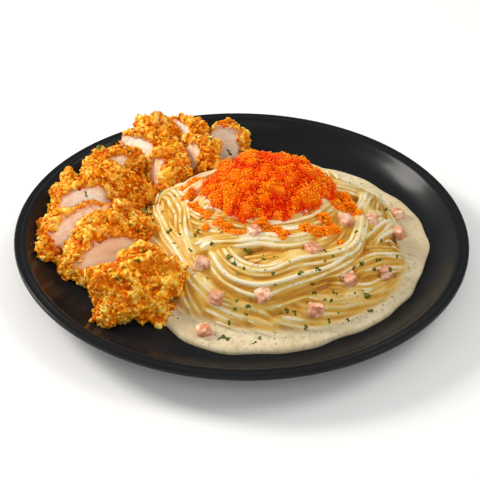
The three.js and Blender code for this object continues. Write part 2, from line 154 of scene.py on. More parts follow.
specks, s_in, s_out = new_group("specks", {"Scale": 900.0, "Amount": 0.1}, ["Mask"])
place = add(specks, "TexCoord").outputs["Object"]
cells = add(specks, "TexVoronoi", {"Vector": place, "Scale": s_in.outputs["Scale"]})
chosen = add(specks, "SeparateColor", {"Color": cells.outputs["Color"]})
rare = add(specks, "Math", {0: chosen.outputs[0], 1: s_in.outputs["Amount"]}, operation="LESS_THAN")
near = add(specks, "Math", {0: cells.outputs["Distance"], 1: 0.33}, operation="LESS_THAN")
both = add(specks, "Math", {0: rare.outputs[0], 1: near.outputs[0]}, operation="MULTIPLY")
specks.links.new(both.outputs[0], s_out.inputs["Mask"])


def mask(tree, group, **values):
    """The mask of one of the shared groups, with this material's own values."""
    made = tree.nodes.new("ShaderNodeGroup")
    made.node_tree = group
    for key, value in values.items():
        made.inputs[key].default_value = value
    return made.outputs["Mask"]


def ramp(tree, fac, *stops):
    """A colour ramp through (place, colour) stops."""
    made = add(tree, "ValToRGB", {"Fac": fac})
    elements = made.color_ramp.elements
    while len(elements) < len(stops):
        elements.new(0.5)
    for element, (at, colour) in zip(elements, stops):
        element.position = at
        element.color = (*colour, 1)
    return made.outputs["Color"]


def mix(tree, fac, first, second):
    made = add(tree, "Mix", {"Factor": fac}, data_type="RGBA")
    for socket, value in ((made.inputs[6], first), (made.inputs[7], second)):
        if isinstance(value, bpy.types.NodeSocket):
            tree.links.new(value, socket)
        else:
            socket.default_value = (*value, 1)
    return made.outputs[2]


def attribute(tree, name, output="Fac"):
    return add(tree, "Attribute", attribute_name=name).outputs[output]


def bump(tree, height, distance, strength=1.0, normal=None):
    made = add(tree, "Bump", {"Height": height, "Distance": distance * MM, "Strength": strength})
    if normal is not None:
        tree.links.new(normal, made.inputs["Normal"])
    return made.outputs["Normal"]


def grain(tree, scale, detail=3.0, vector=None):
    place = vector or add(tree, "TexCoord").outputs["Object"]
    return add(tree, "TexNoise", {"Vector": place, "Scale": scale, "Detail": detail}).outputs["Fac"]


def new_material(name, **numbers):
    """A material whose numbers are set straight on its Principled shader."""
    made = bpy.data.materials.new(name)
    made.use_nodes = True
    shader = made.node_tree.nodes["Principled BSDF"]
    for key, value in numbers.items():
        shader.inputs[key.replace("_", " ")].default_value = value
    return made, made.node_tree, shader


print("shader groups:", [group.name for group in bpy.data.node_groups])

# %% [markdown]
# ## Light and floor
#
# Food looks fresh under one soft key light from behind and beside it: wet
# surfaces then carry long highlights. A wide lamp in front and one at the
# other side keep the shadows open, and a white world fills the rest. A white
# world is also mirrored in every moist surface, which lays a grey haze over
# strong colours. So glossy rays see a dim world that is bright only near its
# skyline, where the steep wall of a dark plate picks it up. The floor is a
# matt white sheet. The Standard view keeps paper white.

# %% Light and floor
LIGHTS = [  # name, direction from the dish, distance (m), size (m), power (W), colour
    ("key", (-0.76, 0.31, 0.56), 1.3, 0.42, 14.5, (1.0, 0.96, 0.89)),
    ("fill", (0.00, -0.78, 0.62), 1.6, 1.0, 6.2, (1.0, 0.98, 0.95)),
    ("side", (0.58, 0.12, 0.78), 1.6, 0.8, 8.0, (1.0, 0.97, 0.92)),
]
WORLD = {"diffuse": 0.50, "glossy": 0.06, "skyline": 0.48, "camera": 0.95}  # brightness, by what looks at it
SKYLINE = (0.12, 0.42)  # sine of the angle over the horizon where its glow starts to fade and is gone

scene = bpy.context.scene
scene.view_settings.view_transform = "Standard"
world = bpy.data.worlds.new("studio")
scene.world = world
world.use_nodes = True
path = add(world.node_tree, "LightPath")
direction_seen = add(world.node_tree, "TexCoord").outputs["Generated"]
skyward = add(world.node_tree, "SeparateXYZ", {0: direction_seen})
mirrored = add(world.node_tree, "MapRange", {
    "Value": skyward.outputs["Z"], "From Min": SKYLINE[0], "From Max": SKYLINE[1],
    "To Min": WORLD["skyline"], "To Max": WORLD["glossy"],
}, interpolation_type="SMOOTHSTEP")
dimmed = add(world.node_tree, "Mix", {
    0: path.outputs["Is Glossy Ray"], 2: WORLD["diffuse"], 3: mirrored.outputs["Result"],
})
seen = add(world.node_tree, "Mix", {
    0: path.outputs["Is Camera Ray"], 2: dimmed.outputs[0], 3: WORLD["camera"],
})
background = world.node_tree.nodes["Background"]
background.inputs["Color"].default_value = (1, 1, 1, 1)
world.node_tree.links.new(seen.outputs[0], background.inputs["Strength"])

for name, direction, distance, size, power, colour in LIGHTS:
    towards = Vector(direction).normalized()
    bpy.ops.object.light_add(type="AREA", location=towards * distance)
    lamp = bpy.context.object
    lamp.name = name
    lamp.rotation_euler = towards.to_track_quat("Z", "Y").to_euler()
    lamp.data.size = size
    lamp.data.energy = power
    lamp.data.color = colour

bpy.ops.mesh.primitive_plane_add(size=12)
floor = bpy.context.object
floor.name = "floor"
paper, tree, shader = new_material("white paper", Roughness=0.9)
shader.inputs["Base Color"].default_value = (0.85, 0.85, 0.85, 1)
floor.data.materials.append(paper)
print("lights:", len(LIGHTS), "and a white world")

# %% [markdown]
# ## Modelling helpers
#
# Small helpers do what a hand does all the time: pick one object, apply its
# modifiers, merge its doubled points, join two pieces, and hand the finished
# piece over to the frame. A heap, a mound and a pool have the same build:
# rings of points from a middle to an uneven outline, with a height for each
# point. `heap` makes that closed shape.

# %% Modelling helpers
def pick(piece):
    bpy.ops.object.select_all(action="DESELECT")
    piece.select_set(True)
    bpy.context.view_layer.objects.active = piece
    return piece


def apply_modifiers(piece):
    pick(piece)
    for modifier in list(piece.modifiers):
        bpy.ops.object.modifier_apply(modifier=modifier.name)


def mend(piece, weld=None):
    """Merges points that lie within weld mm, or turns all faces outward."""
    pick(piece)
    bpy.ops.object.mode_set(mode="EDIT")
    bpy.ops.mesh.select_all(action="SELECT")
    if weld:
        bpy.ops.mesh.remove_doubles(threshold=weld * MM)
    else:
        bpy.ops.mesh.normals_make_consistent(inside=False)
    bpy.ops.object.mode_set(mode="OBJECT")


def join(piece, *others):
    """Makes the others part of the first piece."""
    pick(piece)
    for other in others:
        other.select_set(True)
    bpy.ops.object.join()


def mesh_piece(name, points, faces):
    """A new object from points in millimetres."""
    mesh = bpy.data.meshes.new(name)
    mesh.from_pydata((np.asarray(points) * MM).tolist(), [], faces)
    piece = bpy.data.objects.new(name, mesh)
    bpy.context.collection.objects.link(piece)
    return pick(piece)


def vectors_of(piece, kind):
    flat = np.empty(len(piece.data.vertices) * 3, np.float32)
    piece.data.vertices.foreach_get(kind, flat)
    return flat.reshape(-1, 3).astype(float)


def points_of(piece):
    """The mesh's points in millimetres."""
    return vectors_of(piece, "co") / MM


def normals_of(piece):
    return vectors_of(piece, "normal")


def move_points(piece, points):
    """Puts the mesh's points at new places, in millimetres."""
    piece.data.vertices.foreach_set("co", (points * MM).astype(np.float32).ravel())
    piece.data.update()


def store(piece, name, values):
    """Keeps one number, or one vector, for each point, for the material to read."""
    values = np.asarray(values, np.float32)
    kind, key = ("FLOAT", "value") if values.ndim == 1 else ("FLOAT_VECTOR", "vector")
    layer = piece.data.attributes.new(name, kind, "POINT")
    layer.data.foreach_set(key, values.ravel())


def finish(piece, material, slot, *replaced):
    """Gives a piece its material and places it in the frame."""
    piece.data.materials.clear()
    piece.data.materials.append(material)
    pick(piece)
    bpy.ops.object.shade_smooth()
    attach(piece, "root")
    if replaced:
        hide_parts(*replaced)
    piece.data.calc_loop_triangles()
    print(piece.name + ":", len(piece.data.loop_triangles), "triangles")


def curve_between(a, b, c, d, t):
    """A smooth line from b (t = 0) to c (t = 1), whose neighbours are a and d."""
    cubic = -a + 3 * b - 3 * c + d
    return 0.5 * (2 * b + (c - a) * t + (2 * a - 5 * b + 4 * c - d) * t**2 + cubic * t**3)


def reach_at(reach, angle):
    """Radius of a smooth closed outline through radii spaced evenly round it."""
    reach = np.asarray(reach, float)
    place = np.asarray(angle) / (2 * np.pi) % 1 * len(reach)
    i = np.floor(place).astype(int)
    return curve_between(*(reach[(i + k) % len(reach)] for k in (-1, 0, 1, 2)), place - i)


def heap(name, centre, outline, shares, sides, top, bottom):
    """A closed heap. top(x, y, share) and bottom(x, y) give its heights."""
    angle = np.arange(sides) * 2 * np.pi / sides
    share, turn = np.meshgrid(shares, angle, indexing="ij")
    radius = share * outline(turn)
    x = centre[0] + radius * np.cos(turn)
    y = centre[1] + radius * np.sin(turn)
    z = top(x, y, share)
    rings = np.stack([x, y, z], -1).reshape(-1, 3)
    rim = rings[-sides:].copy()
    rim[:, 2] = bottom(rim[:, 0], rim[:, 1])
    middle = [[centre[0], centre[1], z[0].mean()], [centre[0], centre[1], rim[:, 2].min()]]
    points = np.vstack([rings, rim, middle])
    count = len(shares) + 1
    high, low = len(points) - 2, len(points) - 1
    faces = []
    for j in range(sides):
        k = (j + 1) % sides
        faces.append((high, j, k))
        faces.append((low, (count - 1) * sides + k, (count - 1) * sides + j))
        for i in range(count - 1):
            a = i * sides
            faces.append((a + j, a + sides + j, a + sides + k, a + k))
    return mesh_piece(name, points, faces)


LATTICE = 64  # random values along each side of a cloud, before it repeats
CLOUD_SHIFT = 100.5  # keeps all places on the positive side of the lattice


def cloud(x, y, size, seed):
    """Smooth random values from 0 to 1 over the plan, changing every size mm."""
    lattice = np.random.default_rng(seed).random((LATTICE, LATTICE))
    u, v = np.asarray(x) / size + CLOUD_SHIFT, np.asarray(y) / size + CLOUD_SHIFT
    i, j = np.floor(u).astype(int), np.floor(v).astype(int)
    s, t = u - i, v - j
    s, t = s * s * (3 - 2 * s), t * t * (3 - 2 * t)
    i, j, right, above = i % LATTICE, j % LATTICE, (i + 1) % LATTICE, (j + 1) % LATTICE
    low = lattice[i, j] * (1 - s) + lattice[right, j] * s
    high = lattice[i, above] * (1 - s) + lattice[right, above] * s
    return low * (1 - t) + high * t


def smoothstep(low, high, value):
    t = np.clip((np.asarray(value) - low) / (high - low), 0, 1)
    return t * t * (3 - 2 * t)


# %% [markdown]
# ## The plate
#
# A coupe plate is thrown on a wheel: one profile turned about an axis. The
# profile could be spun as a chain of edges. Extruding a ring step by step
# does the same and shows each station: underside, foot, wall, lip, the groove
# and bead inside the lip, and the flat middle. Subdivision then rounds it.

# %% Plate
PLATE = {
    "radius": 135, "height": 22, "floor": 6.5, "floor_radius": 104, "underside": 2,
    "foot_radius": 82, "foot_width": 4, "lip_height": 3, "lip_width": 3,
    "groove_width": 1.6, "groove_depth": 0.6, "bead_width": 2.2, "bead_drop": 0.3,
    "wall_sweep": 2.6, "inner_sweep": 2.15, "sides": 96, "start": 8,
}
WALL_STATIONS = 8
INSIDE_STATIONS = 10


def plate_inside(radius):
    """Height of the plate's upper face, in mm."""
    p = PLATE
    bead = p["radius"] - p["lip_width"] - p["groove_width"] - p["bead_width"]
    climb = np.clip((np.asarray(radius, float) - p["floor_radius"]) / (bead - p["floor_radius"]), 0, 1)
    return p["floor"] + (p["height"] - p["bead_drop"] - p["floor"]) * climb ** p["inner_sweep"]


def plate_profile():
    """Stations (radius, height) from the underside round the lip to the middle.

    The small numbers are the roundings in mm, read along the profile.
    """
    p = PLATE
    foot = p["foot_radius"] + p["foot_width"] / 2
    foot_inside = foot - p["foot_width"]
    radius, height, underside = p["radius"], p["height"], p["underside"]
    lip = radius - p["lip_width"]
    groove = lip - p["groove_width"]
    bead = groove - p["bead_width"]
    under = height - p["lip_height"]
    stations = [(60, underside), (foot_inside - 1.4, underside), (foot_inside - 0.3, 0.3)]
    stations += [(foot_inside + 0.6, 0), (foot - 0.6, 0), (foot + 0.3, 0.3), (foot + 1.4, underside)]
    for i in range(1, WALL_STATIONS + 1):
        r = foot + 2 + (radius - foot - 2.5) * i / WALL_STATIONS
        rise = ((r - foot) / (radius - foot)) ** p["wall_sweep"]
        stations.append((r, underside + (under - underside) * rise))
    stations += [(radius, under + 0.5), (radius, height - 0.9), (radius - 0.35, height - 0.2)]
    stations += [(radius - 1.1, height), (lip + 0.2, height - 0.05), (lip - 0.3, height - 0.35)]
    stations += [(lip - p["groove_width"] / 2, height - p["groove_depth"])]
    stations += [(groove + 0.2, height - 0.3), (groove - 0.6, height - 0.08)]
    for i in range(INSIDE_STATIONS + 1):
        r = bead - (bead - p["floor_radius"]) * i / INSIDE_STATIONS
        stations.append((r, float(plate_inside(r))))
    return stations + [(r, p["floor"]) for r in (96, 70, 40, p["start"])]


bpy.ops.mesh.primitive_circle_add(
    vertices=PLATE["sides"], radius=PLATE["start"] * MM, fill_type="TRIFAN",
    location=(0, 0, PLATE["underside"] * MM), enter_editmode=True,
)
plate = bpy.context.object
plate.name = "coupe_plate"
bpy.ops.mesh.select_all(action="DESELECT")
bpy.ops.mesh.select_mode(type="EDGE")
bpy.ops.mesh.select_non_manifold(extend=False)
last_r, last_z = PLATE["start"], PLATE["underside"]
for r, z in plate_profile():
    bpy.ops.mesh.extrude_edges_move(TRANSFORM_OT_translate={"value": (0, 0, (z - last_z) * MM)})
    bpy.ops.transform.resize(value=(r / last_r, r / last_r, 1), center_override=(0, 0, z * MM))
    last_r, last_z = r, z
bpy.ops.mesh.edge_face_add()
bpy.ops.mesh.poke()
bpy.ops.mesh.select_all(action="SELECT")
bpy.ops.mesh.normals_make_consistent(inside=False)
bpy.ops.object.mode_set(mode="OBJECT")
bpy.ops.object.transform_apply()
rounding = plate.modifiers.new("rounding", "SUBSURF")
rounding.levels = rounding.render_levels = 1
apply_modifiers(plate)

# %% [markdown]
# ## Satin black glaze
#
# The glaze is nearly black and shows itself by what it reflects: a broad soft
# sheen, not a mirror. Its roughness varies a little, and a very fine grain in
# the normal breaks up the sheen, as on a real satin glaze.

# %% Glaze
glaze, tree, shader = new_material(
    "black glaze", Coat_Weight=0.05, Coat_Roughness=0.12, Specular_IOR_Level=0.10,
)
shader.inputs["Base Color"].default_value = (0.0118, 0.0124, 0.0138, 1)
rough = add(tree, "MapRange", {"Value": mask(tree, patches, Scale=25.0), "To Min": 0.25, "To Max": 0.31})
tree.links.new(rough.outputs["Result"], shader.inputs["Roughness"])
tree.links.new(bump(tree, grain(tree, 1400.0), 0.02, 0.3), shader.inputs["Normal"])
finish(plate, glaze, "plate_glaze", "plate")

# %% [markdown]
# ## The lie of the noodles
#
# Cooked spaghetti lies in a swirl: long strands follow each other round the
# nest, some gathered by the sauce into broad bundles that cross on top. A
# physical simulation of three hundred soft strands is slow and hard to steer.
# Here each strand is laid by rule: its route over the plan is given, and its
# height is found on a relief map of all that already lies there. Then the
# strand's own round back is stamped into the map, so the next one climbs
# over it, as a real one would.

# %% Relief map
NEST = {
    "centre": (12, 2), "reach": [86, 82, 74, 73, 76, 83, 88, 90], "edge": 12, "rise": 29,
    "fullness": 3, "waves": 0.7, "core_drop": 7.5, "core_edge": 1.0, "core_runs_out": (0.90, 1.02),
}
NOODLE = {
    "radius": 1.5, "pitch": 2.6, "press": 0.4, "step": 2.0, "dive": 3.0, "dive_length": 9.0,
    "over_plate": 0.3, "belly": (-0.85, -0.5, 0, 0.5, 0.85), "swell": (0.88, 1.06), "ripple": 0.05,
}
POOL_LEVEL = 9.3  # mm over the table
CELL = 0.5  # mm between places of the relief map
MAP_FROM = np.array([-85.0, -105.0])
MAP_COUNT = 420


def nest_share(x, y):
    dx, dy = x - NEST["centre"][0], y - NEST["centre"][1]
    angle = np.arctan2(dy, dx)
    return np.hypot(dx, dy) / reach_at(NEST["reach"], angle), angle


def nest_height(x, y):
    """The nest's top at a place on the plan, by the construction's rule."""
    share, angle = nest_share(x, y)
    inner = np.minimum(share, 1)
    wave = np.sin(3 * angle + 9 * inner) * np.sin(np.pi * inner)
    return NEST["edge"] + NEST["rise"] * (1 - inner ** NEST["fullness"]) + NEST["waves"] * wave


def core_height(x, y):
    """The hidden heap under the strands, which runs out at the outline."""
    share, _ = nest_share(x, y)
    base = PLATE["floor"] + NEST["core_edge"]
    inside = 1 - smoothstep(*NEST["core_runs_out"], share)
    return base + (nest_height(x, y) - NEST["core_drop"] - base) * inside


def sample(grid, x, y):
    """Values of a map at places on the plan."""
    u = np.clip((np.asarray(x) - MAP_FROM[0]) / CELL, 0, MAP_COUNT - 1.001)
    v = np.clip((np.asarray(y) - MAP_FROM[1]) / CELL, 0, MAP_COUNT - 1.001)
    i, j = u.astype(int), v.astype(int)
    s, t = u - i, v - j
    low = grid[i, j] * (1 - s) + grid[i + 1, j] * s
    high = grid[i, j + 1] * (1 - s) + grid[i + 1, j + 1] * s
    return low * (1 - t) + high * t


def blur(grid, width):
    """Gaussian blur of a map, width in mm."""
    reach = max(1, int(3 * width / CELL))
    weights = np.exp(-0.5 * (np.arange(-reach, reach + 1) * CELL / width) ** 2)
    weights /= weights.sum()
    for axis in (0, 1):
        grid = sum(w * np.roll(grid, k, axis) for k, w in zip(range(-reach, reach + 1), weights))
    return grid


map_x, map_y = np.meshgrid(
    MAP_FROM[0] + CELL * np.arange(MAP_COUNT), MAP_FROM[1] + CELL * np.arange(MAP_COUNT), indexing="ij",
)
relief = core_height(map_x, map_y)
print("relief map:", relief.shape, "from", round(relief.min(), 1), "to", round(relief.max(), 1), "mm")

# %% [markdown]
# ## Laying one strand
#
# The height of a strand at each step is the lowest at which its round belly
# clears the map. That jagged line is smoothed, because a noodle bends gently,
# and both ends dive a little, so that no cut end stands up.

# %% Lay a strand
def on_plan(degrees, share):
    """Angle and share of the nest's radius to a place on the plan."""
    angle = np.radians(degrees)
    radius = np.asarray(share) * reach_at(NEST["reach"], angle)
    x, y = NEST["centre"][0] + radius * np.cos(angle), NEST["centre"][1] + radius * np.sin(angle)
    return np.stack([x, y], -1)


def smooth_route(corners, step):
    """A smooth line through corners, with points at even steps."""
    corners = np.asarray(corners, float)
    ends = np.vstack([2 * corners[0] - corners[1], corners, 2 * corners[-1] - corners[-2]])
    line = []
    for four in zip(ends[:-3], ends[1:-2], ends[2:-1], ends[3:]):
        line += [curve_between(*four, t) for t in np.arange(0, 1, 0.05)]
    line = np.array(line + [corners[-1]])
    run = np.r_[0, np.cumsum(np.linalg.norm(np.diff(line, axis=0), axis=1))]
    even = np.linspace(0, run[-1], max(4, int(run[-1] / step)))
    return np.stack([np.interp(even, run, line[:, 0]), np.interp(even, run, line[:, 1])], -1)


def side_of(route):
    """Unit vectors to the left of a route."""
    along = np.gradient(route, axis=0)
    along /= np.linalg.norm(along, axis=1, keepdims=True) + 1e-9
    return np.stack([-along[:, 1], along[:, 0]], -1)


def ease(values, passes):
    for _ in range(passes):
        inner = 0.25 * values[:-2] + 0.5 * values[1:-1] + 0.25 * values[2:]
        values = np.r_[values[0], inner, values[-1]]
    return values


STAMPS_PER_STEP = 5


def stamp(route, height, radius):
    """Presses a strand's round back into the relief map."""
    fine = np.linspace(0, len(route) - 1, len(route) * STAMPS_PER_STEP)
    steps = np.arange(len(route))
    x = np.interp(fine, steps, route[:, 0])
    y = np.interp(fine, steps, route[:, 1])
    z = np.interp(fine, steps, height)
    i = np.round((x - MAP_FROM[0]) / CELL).astype(int)
    j = np.round((y - MAP_FROM[1]) / CELL).astype(int)
    reach = int(radius / CELL) + 1
    for di in range(-reach, reach + 1):
        for dj in range(-reach, reach + 1):
            row, column = i + di, j + dj
            cell_x, cell_y = MAP_FROM[0] + row * CELL, MAP_FROM[1] + column * CELL
            room = radius**2 - (cell_x - x) ** 2 - (cell_y - y) ** 2
            on_map = (row >= 0) & (row < MAP_COUNT) & (column >= 0) & (column < MAP_COUNT)
            keep = (room > 0) & on_map
            np.maximum.at(relief, (row[keep], column[keep]), z[keep] + np.sqrt(room[keep]))


def lay(route, rise, give, dive=(True, True)):
    """Heights along a strand, which is then stamped into the map.

    rise is where its back should lie over the nest's top, and give is how much
    higher it may climb to pass over what lies there.
    """
    radius = NOODLE["radius"]
    side = side_of(route)
    height = np.full(len(route), -1e3)
    for share in NOODLE["belly"]:
        place = route + side * share * radius
        rest = sample(relief, place[:, 0], place[:, 1]) + radius * math.sqrt(1 - share**2)
        height = np.maximum(height, rest)
    wanted = nest_height(route[:, 0], route[:, 1]) + rise - radius
    height = np.clip(height - NOODLE["press"], wanted, wanted + give)
    for _ in range(2):
        height = np.maximum(height, ease(height, 3))
    height = ease(height, 3)
    run = np.arange(len(route)) * NOODLE["step"]
    for tuck, distance in zip(dive, (run, run[::-1])):
        if tuck:
            height = height - NOODLE["dive"] * (1 - smoothstep(0, NOODLE["dive_length"], distance))
    height = np.maximum(height, PLATE["floor"] + radius + NOODLE["over_plate"])
    stamp(route, height, radius)
    return np.column_stack([route, height])


strands = []

# %% [markdown]
# ## The swirl under the bundles
#
# The lower layer covers the whole heap, also where nobody looks: arcs of
# random length and start, each drifting a little inward, one pitch apart.

# %% Lower layer
LOWER = {
    "rise": -6.0, "give": 1.6, "shares": (0.12, 1.03), "limit": 1.04, "spread": 1.15, "corners": 7,
    "sweep": (60, 150), "drift": (-0.10, 0.06), "swing": 0.02, "overlap": (0.75, 0.95), "past_start": 20,
}
rng = random.Random(4)
mean_reach = sum(NEST["reach"]) / len(NEST["reach"])
share, last_share = LOWER["shares"]
while share < last_share:
    turn = rng.uniform(0, 360)
    end = turn + 360
    while turn < end:
        sweep = min(rng.uniform(*LOWER["sweep"]), end - turn + LOWER["past_start"])
        drift = rng.uniform(*LOWER["drift"])
        corners = []
        for t in np.linspace(0, 1, LOWER["corners"]):
            swing = LOWER["swing"] * math.sin(5 * t + rng.uniform(0, 1))
            corners.append(on_plan(turn + sweep * t, min(share + drift * t + swing, LOWER["limit"])))
        route = smooth_route(corners, NOODLE["step"])
        strands.append(lay(route, LOWER["rise"], LOWER["give"]))
        turn += sweep * rng.uniform(*LOWER["overlap"])
    share += NOODLE["pitch"] * LOWER["spread"] / mean_reach
print("lower layer:", len(strands), "strands")

# %% [markdown]
# ## The bundles that show
#
# Each bundle is a route and a number of strands side by side. The routes that
# the camera sees are given as pixels of its frame, and a ray through each
# pixel finds the nest. How high a bundle lies over the nest is given for its
# start, its middle and its end, so that it comes up out of the others and
# goes down under them. Its middle strands lie a little higher than its outer
# ones, which gives the ribbon a rounded back.

# %% Bundles
SEEN_BUNDLES = [  # route in pixels, strands side by side, layers, rise (start, middle, end) in mm
    ([(322, 178), (340, 182), (356, 188), (371, 197)], 5, 1, (-2, -2, -3)),
    ([(318, 178), (332, 181), (346, 185), (360, 190), (371, 196)], 6, 1, (-1, 0.3, 0.3)),
    ([(372, 194), (366, 201), (360, 208), (352, 216)], 4, 1, (0.6, 1.2, 0)),
    ([(378, 198), (374, 206), (367, 214), (358, 222)], 2, 1, (0, 0.6, 0)),
    ([(382, 204), (387, 213), (391, 222), (388, 233)], 4, 1, (-1, 0.9, -1)),
    ([(391, 219), (380, 225), (369, 233), (360, 243), (354, 253)], 6, 1, (1.2, 1.8, 0)),
    ([(376, 246), (388, 241), (398, 243), (406, 250)], 2, 1, (-1, 0.3, -1)),
    ([(344, 276), (360, 271), (380, 268), (398, 266), (411, 262)], 5, 1, (0, 0.6, -2)),
    ([(338, 273), (350, 265), (368, 258), (390, 254), (406, 256)], 5, 1, (0.6, 1.8, -1)),
    ([(205, 298), (222, 310), (243, 319), (262, 323)], 4, 1, (0, 0.5, -2)),
    ([(193, 283), (204, 296), (220, 306), (240, 313), (262, 316)], 4, 1, (-0.5, 0.5, -1)),
    ([(216, 312), (236, 325), (254, 332), (273, 334)], 2, 1, (-1, -1, -2.5)),
    ([(231, 311), (254, 319), (272, 328), (292, 333)], 4, 1, (-1, 0, -1.5)),
    ([(249, 306), (272, 313), (296, 322), (318, 327)], 2, 1, (-1, 0, -2.5)),
    ([(262, 304), (282, 313), (306, 318), (330, 318), (354, 312)], 4, 1, (0, 0.3, -1.5)),
    ([(283, 295), (300, 303), (318, 308), (343, 308), (367, 301), (388, 291), (402, 279)],
     5, 1, (0, 0.6, -1.5)),
    ([(292, 287), (306, 294), (324, 299), (349, 297), (373, 291), (393, 281)], 4, 1, (0, 1.1, -0.5)),
    ([(306, 280), (330, 284), (349, 287), (367, 287), (380, 282), (393, 274)], 2, 1, (0.6, 1.9, 0)),
    ([(170, 285), (178, 299), (187, 312), (199, 323)], 2, 1, (0, 0, -2)),
    ([(181, 279), (188, 296), (198, 311), (211, 322)], 2, 1, (0, 0.3, -2)),
    ([(147, 207), (145, 219), (153, 229), (167, 243), (177, 257), (186, 271), (192, 286), (201, 304),
      (213, 319)], 5, 1, (0, 0.6, -1.5)),
    ([(157, 199), (160, 212), (168, 228), (179, 246), (191, 263), (203, 280), (222, 294), (243, 302),
      (264, 307), (286, 313)], 5, 1, (0, 1.8, 0)),
    ([(160, 205), (166, 196), (176, 199), (183, 212), (185, 232), (189, 250), (198, 266)],
     4, 1, (0.6, 2.5, 1.2)),
    ([(178, 204), (185, 196), (195, 189), (206, 183), (219, 178)], 5, 1, (1.2, 1.8, 1.2)),
    ([(190, 214), (197, 205), (206, 197), (216, 189)], 4, 1, (1.2, 2.1, 1.8)),
    ([(187, 234), (197, 239), (212, 241), (226, 240)], 2, 1, (0, 0, -1)),
    ([(185, 220), (197, 229), (214, 235), (236, 238), (256, 238)], 4, 1, (0.6, 0.9, 0)),
    ([(184, 206), (195, 216), (210, 221), (230, 223), (250, 226), (268, 228)], 4, 1, (0.9, 1.5, 0.6)),
    ([(231, 257), (248, 258), (270, 255), (294, 250)], 4, 1, (-0.8, -0.2, -0.5)),
    ([(262, 232), (280, 232), (300, 229), (318, 223), (333, 215), (342, 204)], 5, 1, (0.6, 1.2, 1.5)),
    ([(209, 213), (224, 215), (240, 218), (256, 221), (272, 223), (290, 221), (308, 215), (324, 205),
      (335, 197)], 5, 1, (0.6, 1.5, 2.4)),
    ([(194, 208), (204, 202), (216, 204), (229, 211), (244, 215)], 4, 1, (1.8, 3, 1.8)),
    ([(238, 264), (254, 262), (277, 258), (300, 252), (326, 245), (341, 234), (347, 220), (344, 208)],
     6, 1, (-1.5, 0.6, 1.8)),
    ([(206, 276), (214, 289), (228, 298), (246, 302), (264, 301), (284, 297), (304, 289), (324, 282),
      (342, 274)], 4, 1, (0, 1, 0)),
    ([(209, 246), (213, 257), (219, 270), (231, 283), (248, 291), (263, 292), (280, 288), (300, 281),
      (318, 275), (337, 267), (350, 257), (357, 244)], 4, 2, (1.2, 2.8, 1.2)),
    ([(224, 240), (222, 248), (227, 258), (236, 268), (250, 275), (267, 276), (284, 271), (300, 266),
      (318, 263), (337, 260), (351, 253), (358, 240), (361, 226), (358, 211)], 4, 2, (1.8, 3.4, 2.1)),
    ([(184, 254), (195, 249), (210, 245), (232, 243), (258, 241), (280, 243), (300, 242), (321, 234)],
     4, 1, (1.5, 3.6, 1.8)),
]
BACK_BUNDLES = [  # route as (degrees, share of the nest's radius), strands, layers, rise
    ([(120, 0.70), (100, 0.78), (75, 0.80), (50, 0.74), (30, 0.62)], 6, 1, (0, 2, 0)),
    ([(150, 0.90), (128, 0.92), (100, 0.94), (72, 0.92), (52, 0.95)], 6, 1, (0, 1, 0)),
    ([(96, 0.66), (80, 0.72), (60, 0.86), (46, 1.0)], 5, 1, (0, 3, 0)),
    ([(136, 0.62), (150, 0.72), (152, 0.86), (140, 0.96)], 5, 1, (0, 3, 0)),
]
BUNDLE = {
    "crown": 1.2, "layer_rise": 1.5, "give": 1.2, "wander": 0.5, "quiver": 0.3, "squeeze": 0.12,
    "uneven": 0.3, "ragged": 3,
}
SIGHT = np.arange(450.0, 900.0, 0.5)  # distances from the camera, in mm, at which a ray is tested


def on_nest(pixel):
    """The place on the nest or the pool that shows at a pixel, as x and y in mm."""
    line = np.array(eye) / MM + SIGHT[:, None] * np.array(ray_through(pixel))
    share, _ = nest_share(line[:, 0], line[:, 1])
    top = np.where(share < 1, nest_height(line[:, 0], line[:, 1]), POOL_LEVEL)
    return line[np.argmax(line[:, 2] < top), :2]


def lay_bundle(middle, count, layers, rise, seed):
    """Lays strands side by side along a middle line, each with its own small wanderings."""
    rng = random.Random(seed)
    made = []
    steps = np.arange(len(middle))
    along = steps / len(steps)
    rise_at_five = np.interp([0, 1, 2, 3, 4], [0, 2, 4], rise)
    profile = np.interp(along, [0, 0.2, 0.5, 0.8, 1], rise_at_five)
    for layer in range(layers):
        width = count - layer
        for k in range(width):
            offset = (k - (width - 1) / 2) * NOODLE["pitch"]
            phase, pace = rng.uniform(0, 6.3), rng.uniform(0.10, 0.2)
            stray = BUNDLE["wander"] * np.sin(phase + pace * steps)
            stray = stray + BUNDLE["quiver"] * np.sin(3 * phase + 0.45 * steps)
            squeeze = 1 - BUNDLE["squeeze"] * np.sin(along * np.pi) * rng.random()
            route = middle + side_of(middle) * (offset * squeeze + stray)[:, None]
            edge = abs(2 * k / max(width - 1, 1) - 1) if width > 1 else 0
            own = profile + BUNDLE["layer_rise"] * layer - BUNDLE["crown"] * edge**2
            own = own + rng.uniform(-BUNDLE["uneven"], BUNDLE["uneven"])
            first = rng.randint(0, BUNDLE["ragged"])
            last = len(route) - rng.randint(0, BUNDLE["ragged"])
            made.append(lay(route[first:last], own[first:last], BUNDLE["give"]))
    return made


routes = [([on_plan(*corner) for corner in corners], *rest) for corners, *rest in BACK_BUNDLES]
routes += [([on_nest(pixel) for pixel in pixels], *rest) for pixels, *rest in SEEN_BUNDLES]
for seed, (corners, count, layers, rise) in enumerate(routes, 40):
    strands += lay_bundle(smooth_route(corners, NOODLE["step"]), count, layers, rise, seed)
print("with the bundles:", len(strands), "strands, highest", round(relief.max(), 1), "mm")

# %% [markdown]
# ## Where roe has dropped
#
# Lumps of eggs lie beside the mound. Their places are wanted twice: eggs are
# strewn there later, and noodles and cream below them take an orange stain,
# which shows between the eggs.

